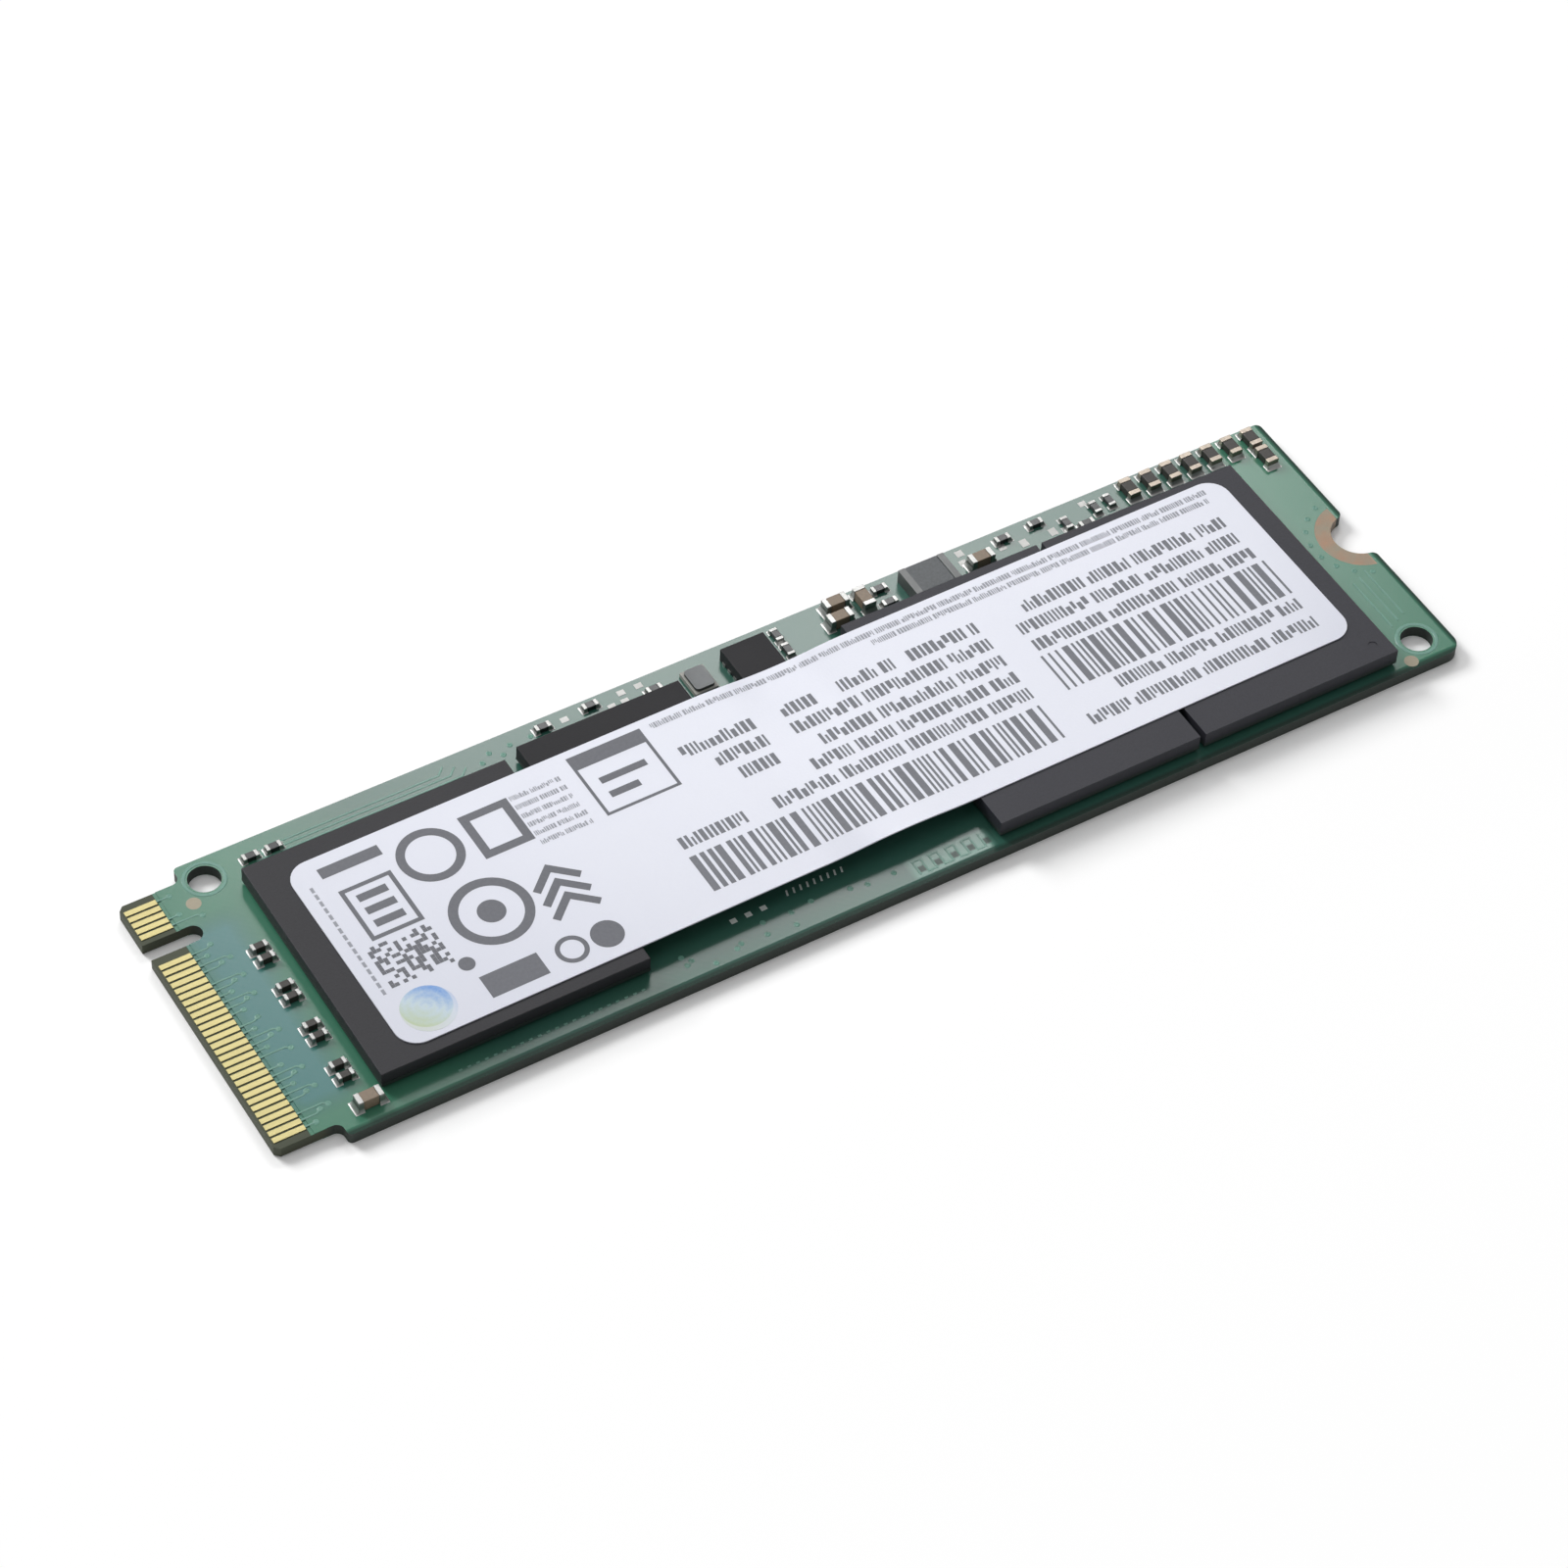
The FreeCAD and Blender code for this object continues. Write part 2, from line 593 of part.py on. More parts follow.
controller = ("controller_left", "controller_near", "controller_side", "controller_side")
memory = ("memory_left", "memory_near", "memory_length", "memory_depth")
inner_flash = ("inner_flash_left", "flash_near", "flash_length", "flash_depth")
outer_flash = ("outer_flash_left", "flash_near", "flash_length", "flash_depth")
outer_mark = ("outer_flash_right - mark_inset", "flash_near + mark_inset")
inner_mark = ("inner_flash_left + mark_inset", "flash_near + flash_depth - mark_inset")
nodes.extend(package("controller", *controller))
nodes.extend(package("memory", *memory))
nodes.extend(package("inner_flash", *inner_flash, inner_mark))
nodes.extend(package("outer_flash", *outer_flash, outer_mark))


def rim_or_middle(column, row):
    """Two rings of an 8 by 8 grid and the four balls in its middle."""
    ring = min(column, row, 7 - column, 7 - row)
    return ring != 2


def side_columns(column, row):
    """Two columns along each side, with the middle of the grid left open."""
    return column in (0, 1, 4, 5)


nodes.append(group("controller_balls", balls("Controller", *controller, "controller_ball_pitch", 8, 8,
                                             rim_or_middle)))
nodes.append(group("memory_balls", balls("Memory", *memory, "memory_ball_pitch", 6, 7, side_columns)))
flash_barrels = [ball for outline in (inner_flash, outer_flash)
                 for ball in balls("Flash", *outline, "flash_ball_pitch", 6, 8, side_columns)]
nodes.append(group("flash_balls", flash_barrels))

nodes.extend(crystal())
nodes.extend(regulator())
nodes.extend(chips("inductor", "inductor_core", "inductor_terminals",
                   [("inductor_middle", "far_edge - inductor_inset")]))
pair_spots = [("coupler_middle", f"coupler_start - {pair} * coupler_pitch - {member} * coupler_spread")
              for pair in range(4) for member in range(2)]
nodes.extend(chips("coupler", "coupling_capacitor_bodies", "coupling_capacitor_ends", pair_spots))
row_spots = [(f"end_edge - row_start - {place_in_row} * row_pitch", "row_middle", "y")
             for place_in_row in range(7)]
row_spots.append(("end_edge - row_start", "row_middle - row_step", "y"))
nodes.extend(chips("row", "end_row_capacitor_bodies", "end_row_capacitor_ends", row_spots))
# Scattered chips, in grid steps from a neighbour and from a side of the board or the controller.
supply_spots = [
    (on_grid("controller_left", -21), on_grid("controller_near", -9), "x"),
    (on_grid("inner_flash_left", 14), on_grid("far_edge", -40), "x"),
    (on_grid("inner_flash_left", 22), on_grid("far_edge", -16), "x"),
    (on_grid("inner_flash_left", 57), on_grid("far_edge", -26), "y"),
    (on_grid("inductor_right", 42), on_grid("far_edge", -38), "x"),
]
nodes.extend(chips("supply", "supply_capacitor_bodies", "supply_capacitor_ends", supply_spots))
resistor_spots = [
    (on_grid("controller_left", 25), on_grid("far_edge", -29), "x"),
    (on_grid("controller_left", 55), on_grid("far_edge", -29), "x"),
    (on_grid("memory_left", 52), on_grid("far_edge", -17), "x"),
    (on_grid("memory_left", 118), on_grid("far_edge", -14), "x"),
    (on_grid("memory_right", -22), on_grid("far_edge", -28), "x"),
    (on_grid("regulator_left + regulator_side", 19), on_grid("far_edge", -50), "y"),
    (on_grid("regulator_left + regulator_side", 19), on_grid("far_edge", -23), "y"),
    (on_grid("inner_flash_left", 84), on_grid("far_edge", -17), "x"),
    (on_grid("inner_flash_left", 84), on_grid("far_edge", -42), "x"),
    (on_grid("inductor_right", 86), on_grid("far_edge", -18), "x"),
    (on_grid("inductor_right", 136), on_grid("far_edge", -15), "x"),
    (on_grid("row_left", -92), on_grid("far_edge", -34), "y"),
    (on_grid("row_left", -70), on_grid("far_edge", -46), "x"),
    (on_grid("row_left", -46), on_grid("far_edge", -28), "y"),
    (on_grid("row_left", -24), on_grid("far_edge", -26), "y"),
]
nodes.extend(chips("resistor", "resistor_bodies", "resistor_ends", resistor_spots))
nodes.append(paper_label())

doc.recompute()
for thing in doc.Objects:
    if "Invalid" in thing.State or "Error" in thing.State:
        raise RuntimeError(f"{thing.Label} failed: {thing.State}")
for node in nodes:
    if node.Shape.isNull() or not node.Shape.isValid() or not node.Shape.Solids:
        raise RuntimeError(f"{node.Label} has no sound shape")

os.makedirs("parts", exist_ok=True)
for node in nodes:
    node.Shape.exportStep(f"parts/{node.Label}.step")
    print(f"{node.Label}: {len(node.Shape.Solids)} solids, {node.Shape.Volume:.3f} cubic mm")
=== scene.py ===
import math

import bpy
import numpy as np
from bpy.props import FloatProperty, FloatVectorProperty, PointerProperty
from mathutils import Matrix, Vector


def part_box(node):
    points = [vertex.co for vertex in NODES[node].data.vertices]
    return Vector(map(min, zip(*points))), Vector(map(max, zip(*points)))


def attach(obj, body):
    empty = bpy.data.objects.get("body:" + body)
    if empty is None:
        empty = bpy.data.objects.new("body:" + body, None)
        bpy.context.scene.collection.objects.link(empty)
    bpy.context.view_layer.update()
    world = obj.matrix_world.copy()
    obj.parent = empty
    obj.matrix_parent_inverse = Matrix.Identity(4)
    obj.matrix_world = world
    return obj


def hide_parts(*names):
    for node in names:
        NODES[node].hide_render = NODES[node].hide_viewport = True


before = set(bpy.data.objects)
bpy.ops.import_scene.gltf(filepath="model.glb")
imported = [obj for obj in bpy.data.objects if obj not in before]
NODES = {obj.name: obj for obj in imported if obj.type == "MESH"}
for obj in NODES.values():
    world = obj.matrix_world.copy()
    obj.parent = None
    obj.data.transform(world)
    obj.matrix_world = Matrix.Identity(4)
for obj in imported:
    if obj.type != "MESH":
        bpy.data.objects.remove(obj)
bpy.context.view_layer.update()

bl_info = {
    "name": "Gumstick drive dressing",
    "version": (1, 0, 0),
    "blender": (4, 5, 0),
    "location": "View3D > Sidebar > Gumstick drive",
    "description": "Finishes, label, solder and board detail for the gumstick solid state drive",
    "category": "Object",
}

MM = 0.001


def node_box(name):
    """Lowest and highest corner of a node in millimetres."""
    low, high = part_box(name)
    return np.array(low) / MM, np.array(high) / MM


BOARD_LOW, BOARD_HIGH = node_box("circuit_board")
BOARD_TOP = BOARD_HIGH[2]
PACKAGE_TOP = node_box("controller_package")[1][2]
CARD_END = BOARD_LOW[0]
SCREW_END = BOARD_HIGH[0]
CONTACT_END = node_box("upper_contacts")[1][0]
LARGE_PACKAGES = ("controller", "memory", "inner_flash", "outer_flash")


def length_field(name, default, description):
    """A length property in metres from a default in millimetres."""
    return FloatProperty(name=name, description=description, default=default * MM,
                         unit="LENGTH", precision=6)


def angle_field(name, default, description):
    """An angle property from a default in degrees."""
    return FloatProperty(name=name, description=description, default=math.radians(default),
                         subtype="ANGLE")


def colour_field(name, default, description):
    """A colour property from three linear values."""
    return FloatVectorProperty(name=name, description=description, default=default,
                               subtype="COLOR", size=3, min=0.0, max=1.0)


def share_field(name, default, description):
    """A property that runs from nought to one."""
    return FloatProperty(name=name, description=description, default=default,
                         subtype="FACTOR", min=0.0, max=1.0)


class LabelSettings(bpy.types.PropertyGroup):
    """The paper label and what is printed on it."""

    length: length_field("Length", 65.1, "Length of the paper along the board")
    width: length_field("Width", 14.95, "Width of the paper across the board")
    corner: length_field("Corner radius", 1.4, "Radius of the four corners of the paper")
    thickness: length_field("Thickness", 0.1, "Thickness of the paper")
    middle_along: length_field("Middle along", 1.55, "Where its middle lies along the board")
    middle_across: length_field("Middle across", -0.48, "Where its middle lies across the board")
    skew: angle_field("Skew", 0.45, "Turn of the paper on the packages")
    near_lift: length_field("Near lift", 0.18, "Rise of the near edge between the packages")
    far_dip: length_field("Far dip", 0.25, "Sag of the far edge between the packages")
    paper: colour_field("Paper", (0.575, 0.590, 0.668), "Colour of the paper")
    ink: colour_field("Ink", (0.118, 0.122, 0.140), "Colour of the bold print")
    text_ink: colour_field("Text ink", (0.148, 0.154, 0.176), "Colour of the rows of print")
    fine_ink: colour_field("Fine ink", (0.265, 0.275, 0.310), "Colour of the fine print")
    seal_blue: colour_field("Seal blue", (0.105, 0.255, 0.58), "Far colour of the round seal")
    seal_middle: colour_field("Seal middle", (0.44, 0.54, 0.60), "Middle colour of the seal")
    seal_lime: colour_field("Seal lime", (0.40, 0.48, 0.31), "Near colour of the round seal")


class BoardSettings(bpy.types.PropertyGroup):
    """The board's mask, laminate, tracks and vias."""

    mask: colour_field("Mask", (0.027, 0.092, 0.064), "Colour of the mask over signal layers")
    mask_teal: colour_field("Mask over planes", (0.050, 0.170, 0.165),
                            "Colour of the mask over a copper plane")
    mask_bright: colour_field("Mask over ground", (0.050, 0.195, 0.118),
                              "Colour of the mask over the ground at the ends")
    laminate: colour_field("Laminate", (0.018, 0.029, 0.022), "Colour of the laminate's edges")
    tongue: colour_field("Tongue laminate", (0.046, 0.054, 0.025),
                         "Colour of the bare laminate at the contacts")
    track: colour_field("Tracks", (0.105, 0.250, 0.195), "Colour of the mask over a track")
    legend: colour_field("Legend", (0.62, 0.66, 0.63), "Colour of the white marks on the mask")
    track_width: length_field("Track width", 0.14, "Width of a track")
    track_rise: length_field("Track rise", 0.018, "How far a track stands out of the mask")
    via_radius: length_field("Via radius", 0.17, "Radius of a covered via")


class PieceSettings(bpy.types.PropertyGroup):
    """Colours of the packages, chips and metal."""

    mould: colour_field("Mould", (0.0165, 0.0160, 0.0200), "Colour of the controller's mould")
    flash_mould: colour_field("Flash mould", (0.0230, 0.0230, 0.0310),
                              "Colour of the two flash packages' mould")
    gold: colour_field("Gold", (0.528, 0.464, 0.216), "Colour of the contacts")
    copper: colour_field("Copper", (0.275, 0.172, 0.118), "Reddest colour of the plated notch")
    copper_pale: colour_field("Pale copper", (0.240, 0.215, 0.165),
                              "Palest colour of the plated notch")
    solder: colour_field("Solder", (0.42, 0.42, 0.41), "Colour of the solder and chip ends")
    warm_solder: colour_field("Warm solder", (0.44, 0.385, 0.325),
                              "Colour of the ends in the row at the screw end")
    carrier: colour_field("Package carrier", (0.016, 0.024, 0.021),
                          "Colour of the laminate under the mould")
    tan: colour_field("Tan ceramic", (0.200, 0.150, 0.105), "Colour of the tan capacitors")
    # The near-black of these capacitors is partly their own ceramic and partly painted shade of
    # their shaded sides.
    dark: colour_field("Dark ceramic", (0.024, 0.020, 0.016), "Colour of the dark capacitors")
    glaze: colour_field("Resistor glaze", (0.018, 0.019, 0.021), "Colour of the resistors")
    ferrite: colour_field("Ferrite", (0.085, 0.092, 0.098), "Colour of the inductor")
    lid: colour_field("Crystal lid", (0.14, 0.145, 0.148), "Colour of the crystal's lid")
    crystal: colour_field("Crystal base", (0.30, 0.30, 0.275), "Colour of the crystal's base")
    terminal: colour_field("Inductor ends", (0.20, 0.205, 0.205), "Colour of the dull terminals")
    solder_reach: length_field("Solder reach", 0.22, "How far solder runs out from a chip end")


class StageSettings(bpy.types.PropertyGroup):
    """The camera, the floor and the light."""

    lens: FloatProperty(name="Lens", default=113.1,
                        description="Focal length in millimetres on a 36 mm frame")
    turn: angle_field("Turn", -33.36, "Camera azimuth")
    rise: angle_field("Rise", 48.66, "Camera elevation")
    roll: angle_field("Roll", 3.29, "Camera roll")
    distance: length_field("Distance", 290.7, "Camera distance from its aim")
    aim: FloatVectorProperty(name="Aim", default=(-1.40 * MM, 0.11 * MM, 0.0),
                             description="Point that the camera looks at",
                             subtype="TRANSLATION", precision=6)
    sheen_share: share_field("Sheen share", 0.145,
                             "Light of the softbox that the level faces mirror, on a level face")
    top_share: share_field("Overhead share", 0.17, "Light of the overhead panel on a level face")
    back_share: share_field("Back share", 0.45, "Light of the panel behind on a level face")
    sky_share: share_field("Sky share", 0.36, "Light of the even sky on a level face")
    floor_glow: share_field("Floor glow", 0.9, "How much of the floor is seen as plain white")


class DriveSettings(bpy.types.PropertyGroup):
    """Everything that can be changed on the dressed drive."""

    label: PointerProperty(type=LabelSettings)
    board: PointerProperty(type=BoardSettings)
    pieces: PointerProperty(type=PieceSettings)
    stage: PointerProperty(type=StageSettings)


# Shapes from arrays

SMOOTH_ANGLE = math.radians(50)
SHORTEST_STEP = 1e-9
SHARPEST_MITER = 0.4


class Shell:
    """Points in millimetres and faces that add up to one mesh."""

    def __init__(self):
        self.points = []
        self.faces = []
        self.count = 0

    def add(self, points, faces):
        """Add an (n, 3) array of points and a list of arrays of corner indices into it."""
        for block in faces:
            self.faces.extend((np.asarray(block) + self.count).tolist())
        self.points.append(points)
        self.count += len(points)

    def piece(self, name, material, slot, smooth=False):
        """Make the mesh, and let it ride on the drive with its finish."""
        mesh = bpy.data.meshes.new(name)
        mesh.from_pydata((np.concatenate(self.points) * MM).tolist(), [], self.faces)
        mesh.update()
        mesh.polygons.foreach_set("use_smooth", np.full(len(mesh.polygons), smooth))
        if smooth:
            mesh.set_sharp_from_angle(angle=SMOOTH_ANGLE)
        mesh.materials.append(material)
        made = bpy.data.objects.new(name, mesh)
        bpy.context.scene.collection.objects.link(made)
        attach(made, "root")
        return made


def grid_quads(rows, columns, round_rows=False, round_columns=False):
    """Corner indices of the quads of a rows by columns grid of points, joined round where asked."""
    r, c = np.meshgrid(np.arange(rows - (not round_rows)),
                       np.arange(columns - (not round_columns)), indexing="ij")
    r, c = r.ravel(), c.ravel()
    here, after, beside = r * columns, (r + 1) % rows * columns, (c + 1) % columns
    return np.stack([here + c, here + beside, after + beside, after + c], axis=1)


def miters(path, closed):
    """Sideways vectors of a path of points, one a point: unit normals to the left, lengthened at
    the corners so that a strip keeps its width."""
    step = np.roll(path, -1, axis=0) - path
    step /= np.maximum(np.linalg.norm(step, axis=1, keepdims=True), SHORTEST_STEP)
    left = np.stack([-step[:, 1], step[:, 0]], axis=1)
    before = np.roll(left, 1, axis=0)
    if not closed:
        left[-1] = left[-2]
        before[0] = left[0]
    both = left + before
    return 2.0 * both / np.maximum((both * both).sum(axis=1, keepdims=True), SHARPEST_MITER)


def strip(shell, path, width, low, high, taper=0.0, closed=False):
    """A flat strip of a given width along a path: its four-cornered section, low left, high left,
    high right, low right, is carried along the path. low and high give the height at the points
    of the plane, and taper is the share of the width that the top lacks."""
    path = np.asarray(path, dtype=float)
    side = miters(path, closed) * (width / 2)
    corners = (path + side, path + side * (1 - taper), path - side * (1 - taper), path - side)
    heights = (low, high, high, low)
    section = [np.column_stack([xy, height(xy)]) for xy, height in zip(corners, heights)]
    points = np.stack(section, axis=1).reshape(-1, 3)
    faces = [grid_quads(len(path), 4, round_rows=closed, round_columns=True)]
    if not closed:
        faces.append(np.array([[3, 2, 1, 0]]))
        faces.append(np.array([[0, 1, 2, 3]]) + 4 * (len(path) - 1))
    shell.add(points, faces)


def turned(shell, profile, centres, ground, segments):
    """A profile of radii and heights turned round an upright axis at each centre. Its first and
    last radius are nought, which closes it with two poles."""
    profile = np.asarray(profile, dtype=float)
    angle = np.linspace(0, 2 * math.pi, segments, endpoint=False)
    ring = np.column_stack([np.cos(angle), np.sin(angle)])
    rows = len(profile) - 2
    index = np.arange(segments)
    beside = (index + 1) % segments
    last = 1 + rows * segments
    foot = last - segments
    fan_top = np.column_stack([np.zeros(segments, int), 1 + index, 1 + beside])
    fan_foot = np.column_stack([np.full(segments, last), foot + beside, foot + index])
    wall = grid_quads(rows, segments, round_columns=True)[:, ::-1] + 1
    for centre in np.asarray(centres, dtype=float):
        flat = centre + profile[1:-1, 0, None, None] * ring
        lift = np.repeat(profile[1:-1, 1], segments)
        flat = np.concatenate([centre[None], flat.reshape(-1, 2), centre[None]])
        lift = np.concatenate([profile[:1, 1], lift, profile[-1:, 1]])
        shell.add(np.column_stack([flat, ground(flat) + lift]), [fan_top, wall, fan_foot])


def level(height):
    """The same height everywhere."""
    return lambda xy: np.full(len(xy), height)


def raised(ground, rise):
    """A height over another one."""
    return lambda xy: ground(xy) + rise


def arc(centre, radius, count=48):
    """Points of a circle."""
    angle = np.radians(np.linspace(0.0, 360.0, count, endpoint=False))
    return np.asarray(centre) + radius * np.column_stack([np.cos(angle), np.sin(angle)])


def straight(start, end, longest=0.5):
    """Points along a straight line, no further apart than asked."""
    start, end = np.asarray(start, float), np.asarray(end, float)
    count = max(2, int(math.ceil(np.linalg.norm(end - start) / longest)) + 1)
    return start + np.linspace(0, 1, count)[:, None] * (end - start)


# Finishes

class Field:
    """A socket of a finish. Arithmetic on it adds the Math nodes that work it out."""

    def __init__(self, finish, socket):
        self.finish = finish
        self.socket = socket

    def math(self, operation, *values):
        """One Math node of these values, this field among them."""
        sockets = dict(enumerate(values))
        node = self.finish.node("ShaderNodeMath", {"operation": operation}, sockets)
        return Field(self.finish, node.outputs[0])

    def __add__(self, other):
        return self.math("ADD", self, other)

    def __sub__(self, other):
        return self.math("SUBTRACT", self, other)

    def __mul__(self, other):
        return self.math("MULTIPLY", self, other)

    def __truediv__(self, other):
        return self.math("DIVIDE", self, other)

    def __radd__(self, other):
        return self.math("ADD", other, self)

    def __rsub__(self, other):
        return self.math("SUBTRACT", other, self)

    def __rmul__(self, other):
        return self.math("MULTIPLY", other, self)

    def __rtruediv__(self, other):
        return self.math("DIVIDE", other, self)

    def size(self):
        """Its value without a sign."""
        return self.math("ABSOLUTE", self)

    def squared(self):
        """Its value times itself."""
        return self * self

    def highest(self, other):
        """The greater of this and another."""
        return self.math("MAXIMUM", self, other)

    def clamped(self):
        """Its value kept between nought and one."""
        return self.math("MINIMUM", self.highest(0.0), 1.0)

    def over(self, limit, soft):
        """Nought below a limit, one above it, with a soft step between."""
        return ((self - limit) / soft + 0.5).clamped()

    def within(self, low, high, soft):
        """One between two limits and nought outside them, with soft steps."""
        return self.over(low, soft) * (1.0 - self.over(high, soft))

    def wrapped(self, period):
        """Distance to the nearest multiple of a period."""
        return self.math("PINGPONG", self, period / 2)


class Finish:
    """A material being made: its nodes and its surface shader."""

    def __init__(self, name, **constants):
        self.material = bpy.data.materials.new(name)
        self.material.use_nodes = True
        self.tree = self.material.node_tree
        self.surface = self.tree.nodes["Principled BSDF"]
        for socket, value in constants.items():
            self.set(socket.replace("_", " ").title().replace("Ior", "IOR"), value)

    def feed(self, socket, value):
        """Link a field to a socket, or set it to a constant. A colour of three values is opaque."""
        if isinstance(value, Field):
            self.tree.links.new(value.socket, socket)
        elif socket.type == "RGBA" and len(value) == 3:
            socket.default_value = (*value, 1.0)
        else:
            socket.default_value = value

    def set(self, socket, value):
        """Feed a socket of the surface shader."""
        self.feed(self.surface.inputs[socket], value)

    def node(self, kind, settings=None, sockets=None):
        """Add a node, with its settings and what its sockets are fed with."""
        node = self.tree.nodes.new(kind)
        for name, value in (settings or {}).items():
            setattr(node, name, value)
        for key, value in (sockets or {}).items():
            self.feed(node.inputs[key], value)
        return node

    def place(self):
        """Object coordinates, as one field."""
        return Field(self, self.node("ShaderNodeTexCoord").outputs["Object"])

    def axes(self):
        """Object coordinates in millimetres, as three fields."""
        split = self.node("ShaderNodeSeparateXYZ", sockets={0: self.place()})
        return [Field(self, split.outputs[axis]) * (1 / MM) for axis in range(3)]

    def noise(self, per_mm, detail=2.0, stretch=None):
        """Noise of so many features a millimetre, between nought and one."""
        where = self.place()
        if stretch:
            scaled = self.node("ShaderNodeVectorMath", {"operation": "MULTIPLY"},
                               {0: where, 1: stretch})
            where = Field(self, scaled.outputs[0])
        sockets = {"Vector": where, "Scale": per_mm / MM, "Detail": detail}
        return Field(self, self.node("ShaderNodeTexNoise", sockets=sockets).outputs[0])

    def mix(self, share, one, other):
        """A colour between two."""
        made = self.node("ShaderNodeMix", {"data_type": "RGBA"}, {0: share, 6: one, 7: other})
        return Field(self, made.outputs[2])

    def bump(self, height, depth):
        """Feed the surface's normal with a bump so many millimetres deep."""
        made = self.node("ShaderNodeBump", sockets={"Height": height, "Distance": depth * MM})
        self.set("Normal", Field(self, made.outputs[0]))


def shade(colour, factor):
    """A colour made darker or lighter."""
    return tuple(min(1.0, value * factor) for value in colour)


def speckled(name, colour, roughness, contrast, per_mm, depth, **constants):
    """A dull surface with a fine speckle in its colour, its roughness and its grain."""
    finish = Finish(name, **constants)
    speckle = finish.noise(per_mm, 3.0)
    broad = finish.noise(0.12)
    share = (speckle * 0.7 + broad * 0.3 - 0.5) * contrast + 0.5
    colours = shade(colour, 0.7), shade(colour, 1.3)
    finish.set("Base Color", finish.mix(share.clamped(), *colours))
    finish.set("Roughness", roughness + (broad - 0.5) * 0.12 + (speckle - 0.5) * 0.1)
    finish.bump(speckle, depth)
    return finish.material


def metal(name, colour, roughness, contrast, depth, stretch=None, metallic=1.0):
    """Plated metal with brush marks and a little tarnish. Soft satin plating is less than wholly
    metallic."""
    finish = Finish(name, metallic=metallic)
    marks = finish.noise(3.0, 3.0, stretch)
    cloud = finish.noise(0.6)
    share = ((marks + cloud) * 0.5 - 0.5) * contrast + 0.5
    colours = shade(colour, 0.78), shade(colour, 1.1)
    finish.set("Base Color", finish.mix(share.clamped(), *colours))
    finish.set("Roughness", roughness + (cloud - 0.5) * 0.2)
    finish.bump(marks, depth)
    return finish.material


def copper_finish(name, red, pale):
    """Bare plated copper in redder and paler blotches with a fine grain."""
    finish = Finish(name, metallic=0.75)
    blotch = finish.noise(1.1, 3.0)
    grain = finish.noise(6.0)
    share = (blotch - 0.5) * 2.6 + (grain - 0.5) * 0.5 + 0.55
    finish.set("Base Color", finish.mix(share.clamped(), red, pale))
    finish.set("Roughness", 0.44 + (grain - 0.5) * 0.2 + (blotch - 0.5) * 0.15)
    finish.bump(grain, 0.006)
    return finish.material


def flat_ink(name, colour):
    """Print: one colour with a slightly uneven cover."""
    finish = Finish(name)
    cover = finish.noise(5.0)
    finish.set("Base Color", finish.mix(cover, shade(colour, 0.85), shade(colour, 1.18)))
    finish.set("Roughness", 0.55 + (cover - 0.5) * 0.1)
    return finish.material


# The board's finish

# Areas in the frame: start and end along the board, and low and high across it.
CONTACT_PLANE = (CARD_END + 2.2, CARD_END + 5.6, -8.4, 6.4)
MATCHED_AREA = (CARD_END + 41.2, CARD_END + 46.6, -10.5, -9.1)
# Loops of the length-matching run: the first, their pitch, and low and high across the board.
LOOP_START, LOOP_PITCH, LOOP_LOW, LOOP_HIGH = CARD_END + 41.88, 1.12, -10.2, -9.75
# How far bright ground reaches in from the two ends.
GROUND_AT_SCREW, GROUND_AT_CARD = 4.6, 11.0
# How wide the rim darkened by painted shade is along the near edge and along the screw end.
NEAR_SHADED_RIM, SCREW_SHADED_RIM = 0.45, 0.35
# Vias on the lower face: their pitch, squared radius and inset from a package's sides.
VIA_PITCH, VIA_SQUARE, VIA_INSET = 0.8, 0.026, 1.2
# Runs on the lower face: pitch, half width, low and high across, and reach under a package.
RUN_PITCH, RUN_HALF, RUN_LOW, RUN_HIGH, RUN_REACH = 0.42, 0.06, -4.6, 6.4, 0.9
# Round test points on the lower face: first and last along, where across, pitch, squared radius.
TEST_START, TEST_END, TEST_ACROSS, TEST_PITCH, TEST_SQUARE = -27.0, 27.0, 9.3, 1.8, 0.14
WEAVE_PITCH = 0.5
CRISP = 0.02


def patch(x, y, area, soft_ends, soft_sides):
    """One inside an area of the board, with soft ends and sides."""
    start, end, low, high = area
    return x.within(start, end, soft_ends) * y.within(low, high, soft_sides)


def upper_mask(finish, board, x, y, upper, cloud, rim):
    """Colour of the mask, and where the loops of the length-matching run are: clouds, teal over
    the plane behind the contacts, bright over the ground at the ends, pale over the
    length-matching area, dark in its loops, and darkened along the rim as painted shade."""
    plane = patch(x, y, CONTACT_PLANE, 1.6, 1.6)
    teal = (cloud * 0.4 - 0.1 + plane * 0.9).clamped()
    green = finish.mix(teal, board.mask, board.mask_teal)
    at_card = 1.0 - x.over(CARD_END + GROUND_AT_CARD, 8.0)
    ground = x.over(SCREW_END - GROUND_AT_SCREW, 0.8).highest(at_card)
    green = finish.mix(ground * (1.0 - plane) * 0.75, green, board.mask_bright)
    matched = patch(x, y, MATCHED_AREA, 0.4, 0.2) * upper
    green = finish.mix(matched * 0.8, green, board.track)
    gaps = 1.0 - (x - LOOP_START).wrapped(LOOP_PITCH).over(0.2, 0.06)
    loops = matched * y.within(LOOP_LOW, LOOP_HIGH, 0.1) * gaps
    # Painted shade: besides the dark loops, the mask is darkened along the near edge and the screw
    # end.
    dark = loops.highest(((1.0 - rim) * 1.7).clamped())
    return finish.mix(dark * 0.9, green, shade(board.mask, 0.3)), loops


